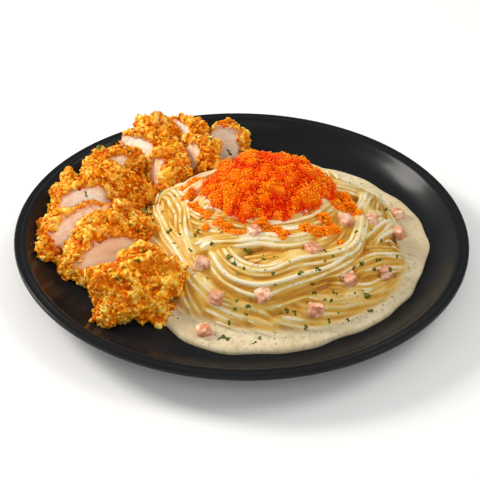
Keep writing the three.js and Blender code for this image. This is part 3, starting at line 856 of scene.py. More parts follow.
# %% Dropped roe
ROE_LUMPS = [  # pixel, radius in mm, height in mm: lumps that lie on the noodles
    ((184, 190), 3, 2), ((191, 186), 3.5, 2), ((199, 181), 3.5, 2.5), ((207, 178), 3, 2),
    ((186, 201), 2.5, 1.5), ((191, 194), 3, 2.5), ((193, 207), 3, 1.8), ((200, 212), 3, 1.8),
    ((207, 217), 2.8, 1.5), ((206, 196), 3.5, 2.5), ((216, 198), 4, 3), ((206, 230), 2, 1.2),
    ((218, 225), 3, 1.8), ((226, 229), 3, 2), ((234, 234), 2.8, 1.6), ((241, 236), 2.4, 1.4),
    ((254, 232), 3.5, 2.5), ((262, 227), 4, 3.5), ((268, 232), 3, 2.5), ((276, 232), 3, 2.2),
    ((283, 239), 3.5, 2.2), ((306, 231), 3.2, 2.5), ((317, 233), 3.2, 2.2), ((327, 233), 3.5, 2.5),
    ((335, 232), 3, 2), ((325, 221), 4, 3), ((344, 197), 6.5, 6.5), ((349, 206), 5, 4.5),
    ((336, 193), 4.5, 5), ((338, 208), 4, 3), ((357, 217), 3, 2), ((340, 244), 1.6, 1),
    ((329, 184), 4, 2.5), ((300, 168), 3, 2), ((237, 169), 4, 2),
]
ROE_STAIN = (0.93, 0.17, 0.004)
STAIN_FADES = (0.75, 1.35)  # times a lump's radius


def stain_of(piece):
    """1 below a lump of roe and 0 away from it."""
    co = points_of(piece)
    stain = np.zeros(len(co))
    for pixel, size, _ in ROE_LUMPS:
        away = np.linalg.norm(co[:, :2] - on_nest(pixel), axis=1)
        stain = np.maximum(stain, 1 - smoothstep(*STAIN_FADES, away / size))
    return stain


print("dropped lumps of roe:", len(ROE_LUMPS))

# %% [markdown]
# ## Noodles from curves
#
# A noodle is a round section drawn along a route, so a bevelled curve is the
# natural tool. All strands are splines of one curve object; its conversion to
# a mesh gives tubes with closed ends. The end caps come loose from the tubes,
# so doubles are merged. Eight sides are enough for a round look when the
# shading is smooth.

# %% Noodle mesh
line = bpy.data.curves.new("noodles", "CURVE")
line.dimensions = "3D"
line.bevel_depth = NOODLE["radius"] * MM
line.bevel_resolution = 2
line.use_fill_caps = True
rng = random.Random(9)
for route in strands:
    spline = line.splines.new("POLY")
    spline.points.add(len(route) - 1)
    spline.points.foreach_set("co", np.column_stack([route * MM, np.ones(len(route))]).ravel())
    phase = rng.uniform(0, 6.3)
    swell = rng.uniform(*NOODLE["swell"]) + NOODLE["ripple"] * np.sin(phase + 0.3 * np.arange(len(route)))
    spline.points.foreach_set("radius", swell)
noodles = bpy.data.objects.new("noodles", line)
bpy.context.collection.objects.link(noodles)
pick(noodles)
bpy.ops.object.convert(target="MESH")
noodles = bpy.context.object
mend(noodles, weld=0.02)
mend(noodles)

LIFT = {"strand": (1.7, 1.2), "bundle": (0.7, 2.5), "nest": (0.55, 6.0)}  # weight, width of the blur in mm
LIFT_SPAN = 7.0
around = [(weight, blur(relief, width)) for weight, width in LIFT.values()]


def lift_of(piece):
    """How far each point stands over its surroundings, as 0 (crevice) to 1."""
    co = points_of(piece)
    lift = sum(weight * (co[:, 2] - sample(level, co[:, 0], co[:, 1])) for weight, level in around)
    return np.clip(0.5 + lift / LIFT_SPAN, 0, 1)


store(noodles, "lift", lift_of(noodles))
store(noodles, "roe", stain_of(noodles))
print("noodle length:", round(sum(len(s) for s in strands) * NOODLE["step"] / 1000, 1), "m")

# %% [markdown]
# ## Noodle finish
#
# Boiled durum wheat is pale yellow and a little translucent, and the sauce
# leaves an ivory film. Shade is painted into the colour: it turns dark amber
# deep between the strands and stays pale on their backs, by the "lift" of
# each point over its neighbourhood. The lift also drives the wet coat on the
# strands' backs, so both sit in the shape and look the same from every side.

# %% Noodle material
def wet_backs(tree, shader, lift, most):
    """A wet coat that grows from nothing in the grooves to its most on the backs."""
    wet = add(tree, "MapRange", {"Value": lift, "From Min": 0.4, "From Max": 0.9, "To Max": most})
    tree.links.new(wet.outputs["Result"], shader.inputs["Coat Weight"])


pasta, tree, shader = new_material(
    "creamy noodle", Roughness=0.40, Specular_IOR_Level=0.12, Subsurface_Weight=0.3, Subsurface_Scale=0.002,
    Coat_Roughness=0.18,
)
shader.inputs["Subsurface Radius"].default_value = (1.0, 0.6, 0.25)
lift = attribute(tree, "lift")
# Painted shade: the ramp runs from dark amber brown in the crevices to pale yellow on the backs, by the lift.
colour_with_painted_shade = ramp(
    tree, lift, (0.0, (0.30, 0.10, 0.008)), (0.26, (0.47, 0.19, 0.016)), (0.45, (0.62, 0.31, 0.036)),
    (0.60, (0.68, 0.40, 0.070)), (0.76, (0.755, 0.54, 0.18)), (0.97, (0.82, 0.69, 0.45)),
)
# Ivory sauce patches, kept to the backs by the lift: the sauce's own colour, and there also painted light on
# the tops.
creamy = mask(tree, patches, Scale=110.0, Low=0.44, High=0.62)
film_colour = mix(tree, creamy, colour_with_painted_shade, (0.82, 0.71, 0.50))
keep = add(tree, "MapRange", {"Value": lift, "From Min": 0.55, "From Max": 0.75})
colour = mix(tree, keep.outputs["Result"], colour_with_painted_shade, film_colour)
dotted = mix(tree, mask(tree, specks, Scale=800.0, Amount=0.05), colour, (0.42, 0.27, 0.12))
stained = mix(tree, attribute(tree, "roe"), dotted, ROE_STAIN)
tree.links.new(stained, shader.inputs["Base Color"])
wet_backs(tree, shader, lift, 0.25)
tree.links.new(bump(tree, grain(tree, 900.0), 0.12, 0.5), shader.inputs["Normal"])
finish(noodles, pasta, "spaghetti", "spaghetti_nest")

# %% [markdown]
# ## Cream between the noodles
#
# The sauce clings to the strands: it fills the grooves inside a bundle and
# leaves the wide gaps open. On the relief map that is a closing, a widening
# followed by a narrowing, which fills all that is narrower than the disc it
# uses. Lowered by a hair, this sheet lets the backs of the strands out. In
# thick patches, and more and more towards the pool, the cream goes over the
# strands: there it follows the softened map, a little above it.

# %% Cream sheet
CREAM = {
    "disc": 1.6, "retreat": 0.2, "below": 0.32, "soften": 0.5, "uneven": 0.7, "patch": 13,  # between strands
    "melt": 0.5, "sag": 1.2, "cover": 0.25,  # over the strands
    "sink": (1.5, 9.5), "sink_blur": 3.0,  # heights over the pool where the strands drown and stand free
}
THICK_CREAM = [  # pixel, size in mm
    ((352, 226), 13), ((345, 218), 9), ((318, 247), 8), ((290, 250), 8), ((262, 248), 7),
    ((206, 204), 8), ((320, 205), 7), ((250, 282), 5), ((300, 274), 5), ((366, 243), 7), ((240, 318), 10),
    ((290, 322), 10), ((330, 314), 9), ((205, 290), 6), ((212, 322), 12), ((246, 331), 13), ((286, 335), 13),
    ((326, 328), 13), ((362, 317), 12), ((392, 299), 11), ((408, 276), 9), ((270, 318), 8), ((352, 303), 8),
]


def widened(grid, disc, pick_value):
    """The highest (or lowest) value of a map within a disc around each place."""
    reach = int(disc / CELL)
    result = grid.copy()
    for di in range(-reach, reach + 1):
        for dj in range(-reach, reach + 1):
            if math.hypot(di, dj) * CELL <= disc:
                result = pick_value(result, np.roll(grid, (di, dj), (0, 1)))
    return result


closed = widened(widened(relief, CREAM["disc"], np.maximum), CREAM["disc"] + CREAM["retreat"], np.minimum)
thickness = -CREAM["below"] + CREAM["uneven"] * (cloud(map_x, map_y, CREAM["patch"], 3) - 0.45)
clinging = blur(closed, CREAM["soften"]) + thickness
covering = blur(np.maximum(relief, closed - CREAM["sag"]), CREAM["melt"]) + CREAM["cover"]
drowned = 1 - smoothstep(*CREAM["sink"], blur(relief, CREAM["sink_blur"]) - POOL_LEVEL)
for pixel, size in THICK_CREAM:
    x, y = on_nest(pixel)
    drowned += np.exp(-((map_x - x) ** 2 + (map_y - y) ** 2) / (2 * (size / 2) ** 2))
drowned = np.minimum(drowned, 1)
coat = clinging * (1 - drowned) + np.maximum(clinging, covering) * drowned
print("cream sheet: lies over", round(100 * float((coat > relief).mean())), "% of the map")

# %% [markdown]
# ## The pool
#
# Round the nest the cream runs out into a pool with a rounded, gently wavy
# edge. Sheet and pool follow one height rule, a soft maximum of both levels,
# so the cream climbs the noodles in a smooth fillet. They stay two pieces: the
# pool is a part of its own in the construction and the film isn't.

# %% Pool
SAUCE = {
    "centre": (20, -8), "reach": [92, 98, 100, 96, 88, 80, 75, 80, 98, 91, 86, 86],
    "edge_width": 3.2, "edge_step": 0.12, "fillet": 1.8, "over_plate": 1.0,
}
SAUCE_RIPPLES = [(0.8, 7, 0), (0.5, 13, 1), (0.35, 23, 0)]  # size in mm, count round the pool, phase
SAUCE_WAVES = [(0.35, 16, 8), (0.12, 4, 9)]  # height in mm, size in mm, seed
POOL_MESH = {
    "rings": np.r_[np.linspace(0.5, 0.94, 52), 1 - 0.05 * np.linspace(1, 0, 14) ** 1.6], "sides": 540,
}
FILM_MESH = {"rings": np.linspace(0.008, 1.03, 150), "sides": 640, "below": 0.04}
FILM_LIFT = {"contrast": 1.4, "steep": 0.25, "slope": (0.25, 0.65)}
POOLED = (0.5, 4.0)  # mm over the pool's level where its colour starts to give way and is gone


def sauce_outline(angle):
    radius = reach_at(SAUCE["reach"], angle)
    for ripple, count, phase in SAUCE_RIPPLES:
        radius = radius + ripple * np.sin(count * angle + phase)
    return radius


def soft_max(a, b, width):
    return np.maximum(a, b) + width * 0.25 * np.maximum(0, 1 - np.abs(a - b) / (2 * width)) ** 2 * 2


def cream_top(x, y):
    """Height of the cream wherever it lies."""
    level = POOL_LEVEL
    for height, size, seed in SAUCE_WAVES:
        level = level + height * (cloud(x, y, size, seed) - 0.5)
    return soft_max(sample(coat, x, y), level, SAUCE["fillet"])


def pool_top(x, y, share):
    dx, dy = x - SAUCE["centre"][0], y - SAUCE["centre"][1]
    room = np.clip((sauce_outline(np.arctan2(dy, dx)) - np.hypot(dx, dy)) / SAUCE["edge_width"], 0, 1)
    round_edge = np.sqrt(1 - (1 - room) ** 2)
    ground = plate_inside(np.hypot(x, y))
    level = np.maximum(cream_top(x, y), ground + SAUCE["over_plate"])
    return ground + (level - ground) * (SAUCE["edge_step"] + (1 - SAUCE["edge_step"]) * round_edge)


def on_plate(x, y):
    return plate_inside(np.hypot(x, y)) + 0.05


pool = heap(
    "cream_pool", SAUCE["centre"], sauce_outline, POOL_MESH["rings"], POOL_MESH["sides"], pool_top, on_plate,
)
film = heap(
    "cream_film", NEST["centre"], lambda angle: reach_at(NEST["reach"], angle),
    FILM_MESH["rings"], FILM_MESH["sides"],
    lambda x, y, share: cream_top(x, y) - FILM_MESH["below"], on_plate,
)
# Painted shade: the film's lift is stretched, and its steep sides get a lower lift, so the colour ramp paints
# them darker.
steep = 1 - smoothstep(*FILM_LIFT["slope"], normals_of(film)[:, 2])
film_lift = 0.5 + FILM_LIFT["contrast"] * (lift_of(film) - 0.5) - FILM_LIFT["steep"] * steep
for piece, lift in ((film, np.clip(film_lift, 0, 1)), (pool, lift_of(pool))):
    store(piece, "lift", lift)
    store(piece, "roe", stain_of(piece))
    store(piece, "pooled", 1 - smoothstep(*POOLED, points_of(piece)[:, 2] - POOL_LEVEL))

# %% [markdown]
# ## Cream finish
#
# Cream sauce is an opaque, slightly yellow white with a soft wet gloss, which
# stays off the grooves. Between the strands its colour is painted shade: a
# ramp like the one on the noodles darkens it to amber there, by the lift.
# Ground pepper and herb dust sit in it as tiny specks, and a low ripple keeps
# the highlight alive. Light enters a little way, so a small subsurface softens it.

# %% Cream material
cream, tree, shader = new_material(
    "cream sauce", Roughness=0.42, Specular_IOR_Level=0.12, Subsurface_Weight=0.3, Subsurface_Scale=0.002,
    Coat_Roughness=0.2,
)
shader.inputs["Subsurface Radius"].default_value = (1.0, 0.7, 0.35)
warm = mix(tree, mask(tree, patches, Scale=45.0), (0.615, 0.51, 0.315), (0.695, 0.60, 0.40))
mottled = mix(tree, mask(tree, patches, Scale=330.0, Low=0.48, High=0.70), warm, (0.545, 0.435, 0.265))
lift = attribute(tree, "lift")
# Painted shade: dark amber brown in the crevices, pale on the backs, by the lift; in the pool the mottled
# cream colour takes over.
amber_painted_shade = ramp(
    tree, lift, (0.0, (0.30, 0.10, 0.008)), (0.28, (0.48, 0.20, 0.020)), (0.46, (0.58, 0.285, 0.032)),
    (0.60, (0.66, 0.395, 0.075)), (0.76, (0.745, 0.54, 0.195)), (0.95, (0.82, 0.69, 0.45)),
)
coloured = mix(tree, attribute(tree, "pooled"), amber_painted_shade, mottled)
dotted = mix(tree, mask(tree, specks, Scale=750.0, Amount=0.07), coloured, (0.36, 0.25, 0.13))
stained = mix(tree, attribute(tree, "roe"), dotted, ROE_STAIN)
tree.links.new(stained, shader.inputs["Base Color"])
wet_backs(tree, shader, lift, 0.2)
ripple = bump(tree, grain(tree, 170.0), 0.5, 0.6)
tree.links.new(bump(tree, grain(tree, 1100.0), 0.08, 0.5, ripple), shader.inputs["Normal"])
finish(pool, cream, "cream_sauce", "cream_sauce")
finish(film, cream, "cream_sauce")

# %% [markdown]
# ## Roe
#
# The eggs are barely more than a millimetre across and stick together in
# lumps. A mound with lumps and hollows carries the mass. More than five
# thousand small spheres, each of only twenty faces, cover it, and two thousand
# more are piled up in the lumps beside it. Each egg is a copy of one sphere,
# moved and sized in an array of numbers, and all are one mesh, because
# thousands of objects would be slow.

# %% Roe shape
ROE = {
    "centre": (11, 6), "reach": [43, 42, 40, 36, 37, 35, 30, 35], "peak": (-4, 12), "crown": 0.9,
    "edge": 0.8, "top": 55.4, "hollows": 3.2, "hollow_size": 8, "under_eggs": 1.0, "within": 36,
}
ROE_RIPPLES = [(1.4, 9, 0), (1.1, 17, 2)]  # size in mm, count round the mound, phase
ROE_NOTCHES = [(208, 15, 5.0), (165, 12, 3.5), (338, 11, 4.0)]  # degrees, width in degrees, depth in mm
CLUMPS = {"count": 260, "radius": (1.8, 4.4), "round": 0.8, "within": 44}
EGG = {"radius": 0.66, "sizes": (0.8, 1.15), "spacing": 1.08, "sunk": (-0.1, 0.5), "in_lumps": 1.12}
BUDS = {  # small heaps of eggs on the mound
    "gap": 3.4, "radius": 2.1, "rise": 1.8, "base": 0.3, "least": 0.35, "closer": 0.9,
}
# Painted light and shade for the eggs on the mound: eggs high on a bud lighter, eggs between the buds darker.
BUD_LIGHT_AND_SHADE = {"between": -0.20, "rise": 0.34, "middle": 0.45}

rng = np.random.default_rng(17)
clump_places = rng.uniform(-CLUMPS["within"], CLUMPS["within"], (CLUMPS["count"], 2)) + ROE["centre"]
clump_radii = rng.uniform(*CLUMPS["radius"], CLUMPS["count"])


def clump_height(x, y):
    """How far the lumps of eggs bulge at each place, in mm."""
    gap = (np.ravel(x)[:, None] - clump_places[:, 0]) ** 2 + (np.ravel(y)[:, None] - clump_places[:, 1]) ** 2
    bulge = np.sqrt(np.maximum(clump_radii**2 - gap, 0)).max(1)
    return CLUMPS["round"] * bulge.reshape(np.shape(x))


def roe_surface(x, y, share):
    """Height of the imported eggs, with lumps and hollows."""
    base = nest_height(x, y) + ROE["edge"]
    top = base + (ROE["top"] - base) * np.clip(1 - share**2, 0, 1) ** ROE["crown"]
    return top + ROE["hollows"] * roe_cloud(x, y) + clump_height(x, y)


def roe_cloud(x, y):
    """Broad rises and hollows of the mound, from -0.5 to 0.5."""
    return cloud(x, y, ROE["hollow_size"], 21) - 0.5


def roe_outline(angle):
    radius = reach_at(ROE["reach"], angle)
    for ripple, count, phase in ROE_RIPPLES:
        radius = radius + ripple * np.sin(count * angle + phase)
    for middle, width, depth in ROE_NOTCHES:
        off = (np.degrees(angle) - middle + 180) % 360 - 180
        radius = radius - depth * np.exp(-0.5 * (off / width) ** 2)
    return radius


def leaned(x, y, share):
    """Moves a place towards the mound's peak, the more the nearer the middle."""
    shift = np.clip(1 - share, 0, 1) ** 1.5
    return x + ROE["peak"][0] * shift, y + ROE["peak"][1] * shift


def over_noodles(x, y):
    """The height from which a point of the mound counts as its upper side."""
    return core_height(x, y) + 0.5


mound = heap(
    "roe", ROE["centre"], roe_outline, np.linspace(0.02, 1, 52), 160,
    lambda x, y, share: roe_surface(*leaned(x, y, share), share) - ROE["under_eggs"], core_height,
)
co = points_of(mound)
dx, dy = co[:, 0] - ROE["centre"][0], co[:, 1] - ROE["centre"][1]
share = np.hypot(dx, dy) / roe_outline(np.arctan2(dy, dx))
on_top = co[:, 2] > over_noodles(co[:, 0], co[:, 1])
co[on_top, :2] = np.column_stack(leaned(co[:, 0], co[:, 1], share))[on_top]
move_points(mound, co)


def even_spots(piece, spacing, tries, least_height):
    """Random places on a surface, no two nearer than the spacing, and the way out of it."""
    piece.data.calc_loop_triangles()
    corners = np.array([t.vertices for t in piece.data.loop_triangles])
    co, normal = points_of(piece), normals_of(piece)
    corners = corners[co[corners][:, :, 2].min(1) > least_height(*co[corners].mean(1)[:, :2].T)]
    a, b, c = (co[corners[:, k]] for k in range(3))
    area = np.linalg.norm(np.cross(b - a, c - a), axis=1)
    chosen = corners[rng.choice(len(corners), tries, p=area / area.sum())]
    share = rng.dirichlet((1, 1, 1), tries)
    spots = (co[chosen] * share[:, :, None]).sum(1)
    out = (normal[chosen] * share[:, :, None]).sum(1)
    taken, kept = {}, []
    for i, (spot, cell) in enumerate(zip(spots, np.floor(spots / spacing).astype(int))):
        near = (
            taken.get((cell[0] + dx, cell[1] + dy, cell[2] + dz))
            for dx in (-1, 0, 1) for dy in (-1, 0, 1) for dz in (-1, 0, 1)
        )
        if all(j is None or np.sum((spots[j] - spot) ** 2) > spacing**2 for j in near):
            taken[tuple(cell)] = i
            kept.append(i)
    return spots[kept], out[kept]


def lump_of_eggs(pixel, size, height):
    """Places of the eggs in one dropped lump: two layers with an uneven outline."""
    centre_x, centre_y = on_nest(pixel)
    span = np.arange(-1.5 * size, 1.5 * size, EGG["spacing"])
    for depth in (0, 1):
        x, y = (
            place.ravel() + EGG["spacing"] * rng.uniform(-0.45, 0.45, place.size)
            for place in np.meshgrid(span, span)
        )
        turn = np.arctan2(y, x)
        uneven = 1 + 0.25 * np.sin(3 * turn + pixel[0]) + 0.15 * np.sin(7 * turn)
        far = np.hypot(x, y) / (size * uneven)
        x, y, far = x[far < 1] + centre_x, y[far < 1] + centre_y, far[far < 1]
        rise = height * (1.2 * (1 - far**2) + 0.25 * (cloud(x, y, 2.2, 24) - 0.5)) - 0.9 * depth
        yield np.column_stack([x, y, sample(bedding, x, y) + 0.4 + np.maximum(rise, 0)])


rng = np.random.default_rng(31)
spots, out = even_spots(mound, EGG["spacing"], 30000, over_noodles)
tops, _ = even_spots(mound, BUDS["gap"], 9000, over_noodles)
more, more_out = even_spots(mound, BUDS["closer"] * EGG["spacing"], 40000, over_noodles)
gap = np.linalg.norm(more[:, None] - tops[None], axis=2).min(1)
swell = np.sqrt(np.clip(1 - (gap / BUDS["radius"]) ** 2, 0, 1))
raised = swell > BUDS["least"]
eggs = [spots + out * rng.uniform(*EGG["sunk"], (len(spots), 1))]
eggs.append(more[raised] + more_out[raised] * (BUDS["base"] + BUDS["rise"] * swell[raised])[:, None])
# Painted light on the eggs of the buds, painted shade on the eggs between them.
bud_painted_light = BUD_LIGHT_AND_SHADE["rise"] * (swell[raised] - BUD_LIGHT_AND_SHADE["middle"])
egg_light_and_shade = np.r_[np.full(len(spots), BUD_LIGHT_AND_SHADE["between"]), bud_painted_light]
packed = len(egg_light_and_shade)
bedding = np.maximum(blur(relief, 1.2), relief - 0.6)
for lump in ROE_LUMPS:
    eggs += lump_of_eggs(*lump)
eggs = np.vstack(eggs)
print("eggs:", packed, "on the mound and", len(eggs) - packed, "in lumps beside it")
size = EGG["radius"] * rng.uniform(*EGG["sizes"], len(eggs))
size[packed:] *= EGG["in_lumps"]
eggs[:, 2] = np.minimum(eggs[:, 2], cad_box[1][2] / MM - size)

bpy.ops.mesh.primitive_ico_sphere_add(subdivisions=1, radius=1)
egg = bpy.context.object
shape = np.array([v.co for v in egg.data.vertices])
egg_faces = np.array([list(p.vertices) for p in egg.data.polygons])
bpy.data.objects.remove(egg)
points = (eggs[:, None, :] + shape[None] * size[:, None, None]).reshape(-1, 3)
faces = (egg_faces[None] + len(shape) * np.arange(len(eggs))[:, None, None]).reshape(-1, 3)
loose = mesh_piece("eggs", points, faces.tolist())

# %% [markdown]
# ## Roe finish
#
# Flying-fish roe is bright orange and clear: light comes out of it again a
# millimetre further on, redder than it went in. So the mound uses a little
# subsurface scattering, a thin wet coat that leaves the orange strong, and a
# tone for each egg. The tone differs at random, and painted light and shade
# are put into it: lumps that stand out are lighter; hollows, the right side
# and the mound under the eggs deeper red.

# %% Roe material
# Painted light and shade in the tone: lumps lighter, hollows and the right side deeper red; the patches and
# each egg's own share are random.
TONE_AND_SHADE = {
    "base": 0.71, "hollows": 0.4, "clumps": 0.26, "clump_middle": 1.6, "patches": 0.4, "patch_size": 13,
    "right": 0.16, "right_span": (-16, 26), "mound": -0.35, "egg": 0.07, "in_lumps": (0.84, 0.1),
}


def roe_tone_and_shade(x, y):
    """0 deep red to 1 light orange; painted light on lumps, painted shade in hollows and on the right side.
    """
    dx, dy = x - ROE["centre"][0], y - ROE["centre"][1]
    lump = TONE_AND_SHADE["hollows"] * roe_cloud(x, y) + TONE_AND_SHADE["clumps"] * (clump_height(x, y) - TONE_AND_SHADE["clump_middle"])
    patch = TONE_AND_SHADE["patches"] * (cloud(x, y, TONE_AND_SHADE["patch_size"], 41) - 0.5)
    right = smoothstep(*TONE_AND_SHADE["right_span"], dx - 0.6 * dy)
    return np.clip(TONE_AND_SHADE["base"] + lump + patch - TONE_AND_SHADE["right"] * right, 0, 1)


# The mound shows only between the eggs; it is painted a deeper red there, as shade.
store(mound, "tone", roe_tone_and_shade(*points_of(mound)[:, :2].T) + TONE_AND_SHADE["mound"])
per_egg = roe_tone_and_shade(*eggs[:, :2].T) + rng.normal(0, TONE_AND_SHADE["egg"], len(eggs))
per_egg[:packed] += egg_light_and_shade
per_egg[packed:] = rng.normal(*TONE_AND_SHADE["in_lumps"], len(eggs) - packed)
store(loose, "tone", np.repeat(np.clip(per_egg, 0, 1), len(shape)))

orange, tree, shader = new_material(
    "fish roe", Roughness=0.2, Subsurface_Weight=0.12, Subsurface_Scale=0.0007,
    Coat_Weight=0.02, Coat_Roughness=0.06, Specular_IOR_Level=0.12,
)
shader.inputs["Subsurface Radius"].default_value = (1.0, 0.28, 0.05)
tone_colour = ramp(
    tree, attribute(tree, "tone"), (0.0, (0.86, 0.028, 0.0)), (0.25, (0.92, 0.068, 0.0)),
    (0.5, (0.97, 0.142, 0.0005)), (0.75, (1.0, 0.23, 0.001)), (1.0, (1.0, 0.36, 0.006)),
)
tree.links.new(tone_colour, shader.inputs["Base Color"])
join(mound, loose)
finish(mound, orange, "fish_roe", "roe_mound")

# %% [markdown]
# ## Fried chicken: from a faceted slice to a crumbed one
#
# Each slice starts as a copy of its construction solid, which has the true
# size and outline. Voxel remeshing turns its few facets into an even skin,
# smoothing rounds it, and Displace modifiers with procedural textures push
# the skin out in lumps, nodules and grains, large to small. A vertex group
# keeps all that off the cut, where the meat shows.

# %% Slices
# A slice's whitening number is partly whiter meat and partly painted light, for cut faces that get little
# light.
CHICKEN = [  # cut face: middle, turn, look-up; meat: middle and half size along and across the face
    {"at": (-54, -61, 23), "turn": 24, "up": 50, "meat": None, "pale_and_painted_light": 0},
    {"at": (-68, -29, 19), "turn": 31, "up": 24, "meat": (-8, 1, 22, 11), "pale_and_painted_light": 0.12, "grain": 0.12},
    {"at": (-95, -8, 19), "turn": 38, "up": 38, "meat": (4, 3, 26, 11), "pale_and_painted_light": 0.5},
    {"at": (-86, 23, 20), "turn": 32, "up": 30, "meat": (-12.5, 3, 18.5, 10), "pale_and_painted_light": 1.0},
    {"at": (-79, 55, 22), "turn": 42, "up": 30, "meat": (-1, 6, 12, 5), "pale_and_painted_light": 0.4},
    {"at": (-64, 76, 21), "turn": -38, "up": 34, "meat": (-9, 3, 16, 8), "pale_and_painted_light": 1.0},
    {"at": (-56, 55, 20), "turn": -72, "up": 15, "meat": (-1, 3, 10, 10), "pale_and_painted_light": 0.0},
    {"at": (-60, 99, 24), "turn": -22, "up": 30, "meat": None, "pale_and_painted_light": 0},
    {"at": (-43, 97, 23), "turn": -46, "up": 30, "meat": (-2, 5, 13, 6), "pale_and_painted_light": 1.0},
    {"at": (-34, 77, 19), "turn": -56, "up": 22, "meat": (-1, 2, 9, 10), "pale_and_painted_light": 0.2},
    {"at": (-11, 97, 17), "turn": -10, "up": 18, "meat": (-2, 0, 13, 15), "pale_and_painted_light": 1.0},
]
GRABS = {  # slice: pixel at which a place shows, pixel it is pulled to, reach of the pull in mm
    1: [((98, 259), (98, 271), 11), ((116, 251), (116, 263), 12), ((130, 244), (130, 251), 8),
        ((168, 249), (166, 261), 10), ((184, 260), (190, 271), 9), ((177, 308), (168, 300), 9),
        ((160, 318), (160, 327), 6), ((127, 324), (128, 316), 9), ((90, 312), (90, 320), 6)],
    2: [((152, 212), (152, 225), 9), ((163, 220), (168, 240), 9), ((124, 205), (124, 203), 7),
        ((62, 262), (58, 270), 7), ((68, 274), (64, 281), 7), ((80, 218), (82, 223), 8)],
    3: [((35, 238), (43, 241), 11), ((38, 220), (46, 225), 9), ((84, 203), (84, 210), 8),
        ((102, 202), (102, 209), 8), ((45, 252), (39, 254), 4)],
    4: [((46, 200), (55, 203), 9), ((49, 186), (58, 189), 9), ((68, 176), (68, 168), 6),
        ((85, 170), (85, 175), 6)],
    5: [((81, 166), (87, 167), 8), ((86, 155), (90, 158), 7)],
    8: [((133, 118), (138, 119), 6), ((158, 118), (159, 113), 3)],
    9: [((194, 116), (192, 122), 7), ((180, 119), (180, 112), 3.5)],
    10: [((221, 152), (216, 153), 8)],
}
CRUST = {"voxel": 0.55, "round": (0.6, 7), "rest_level": 0.45}
CRUST_CLUMPS = [("CLOUDS", 10.0, 4.6), ("CLOUDS", 5.0, 3.6)]  # texture, size of its features, push, in mm
CRUST_GRAINS = [("MUSGRAVE", 3.6, 1.0), ("VORONOI", 2.5, -1.2), ("CLOUDS", 1.3, 0.6)]
CRAG_SPAN = {"clumps": 7.0, "grains": 5.0}  # mm of push from a crack to a tip
MEAT = {
    "depth": 5.0, "border": 0.14, "ragged": 0.30, "ragged_sizes": (5.0, 2.0), "facing": (0.35, 0.6),
    "core": 0.3,
}
NEAR_SIDE = 0.15  # how much a place's distance counts against its distance from the ray


def slice_axes(cut):
    """Unit vectors along the cut, up across it, and straight out of it."""
    turn, up = math.radians(cut["turn"]), math.radians(cut["up"])
    along = Vector((math.cos(turn), math.sin(turn), 0))
    out = Vector((math.sin(turn) * math.cos(up), -math.cos(turn) * math.cos(up), math.sin(up)))
    return along, out.cross(along), out


def crust_texture(kind, size, index):
    texture = bpy.data.textures.new(f"{kind.lower()} {index}", kind)
    texture.noise_scale = size * MM
    if kind == "CLOUDS":
        texture.noise_depth = 1
    if kind == "MUSGRAVE":
        texture.musgrave_type = "RIDGED_MULTIFRACTAL"
    return texture


def roughen(piece, layers):
    """Pushes the crust out by textures, and returns how far each point moved."""
    before, normal = points_of(piece), normals_of(piece)
    for kind, size, push in layers:
        layer = piece.modifiers.new(kind, "DISPLACE")
        layer.texture = crust_textures[kind, size]
        layer.texture_coords = "GLOBAL"
        layer.vertex_group = "crust"
        layer.strength = push * MM
        layer.mid_level = CRUST["rest_level"]
    apply_modifiers(piece)
    return ((points_of(piece) - before) * normal).sum(1)


crust_textures = {
    (kind, size): crust_texture(kind, size, i)
    for i, (kind, size, _) in enumerate(CRUST_CLUMPS + CRUST_GRAINS)
}


def remesh(piece, voxel):
    """An even skin of small squares in place of the facets."""
    skin = piece.modifiers.new("skin", "REMESH")
    skin.mode = "VOXEL"
    skin.voxel_size = voxel * MM


def softened_copy(node, name, voxel, rounding):
    """A copy of a construction solid, with modifiers for an even skin and round edges."""
    piece = bpy.data.objects.new(name, nodes[node].data.copy())
    bpy.context.collection.objects.link(piece)
    mend(piece, weld=0.01)
    remesh(piece, voxel)
    soft = piece.modifiers.new("rounding", "SMOOTH")
    soft.factor, soft.iterations = rounding
    return piece


def grab(piece, start, end, reach):
    """Pulls the place of a piece that shows at a pixel to another pixel, with all within reach."""
    co = points_of(piece)
    ray = np.array(ray_through(start))
    away = co - np.array(eye) / MM
    depth = away @ ray
    miss = np.linalg.norm(away - depth[:, None] * ray, axis=1)
    held = np.argmin(miss + NEAR_SIDE * (depth - depth.min()))
    shift = np.array(ray_through(end)) * depth[held] + np.array(eye) / MM - co[held]
    weight = np.clip(1 - (np.linalg.norm(co - co[held], axis=1) / reach) ** 2, 0, 1) ** 2
    move_points(piece, co + weight[:, None] * shift)


def meat_mask(piece, cut):
    """For each point: 1 on meat and 0 on crust, nearness to the meat's middle, place in the cut's axes."""
    along, across, out = slice_axes(cut)
    local = (points_of(piece) - np.array(cut["at"])) @ np.array([along, across, out]).T
    if cut["meat"] is None:
        return np.zeros(len(local)), np.zeros(len(local)), local
    middle_u, middle_v, half_u, half_v = cut["meat"]
    ring = np.hypot((local[:, 0] - middle_u) / half_u, (local[:, 1] - middle_v) / half_v)
    coarse, fine = MEAT["ragged_sizes"]
    ragged = np.array([noise.noise(Vector(p) / coarse) + 0.5 * noise.noise(Vector(p) / fine) for p in local])
    facing = normals_of(piece) @ np.array(out)
    inside = smoothstep(0, MEAT["border"], 1 - ring + MEAT["ragged"] * ragged)
    inside = inside * smoothstep(*MEAT["facing"], facing) * (local[:, 2] > -MEAT["depth"])
    return inside, smoothstep(0, MEAT["core"], 1 - ring), local


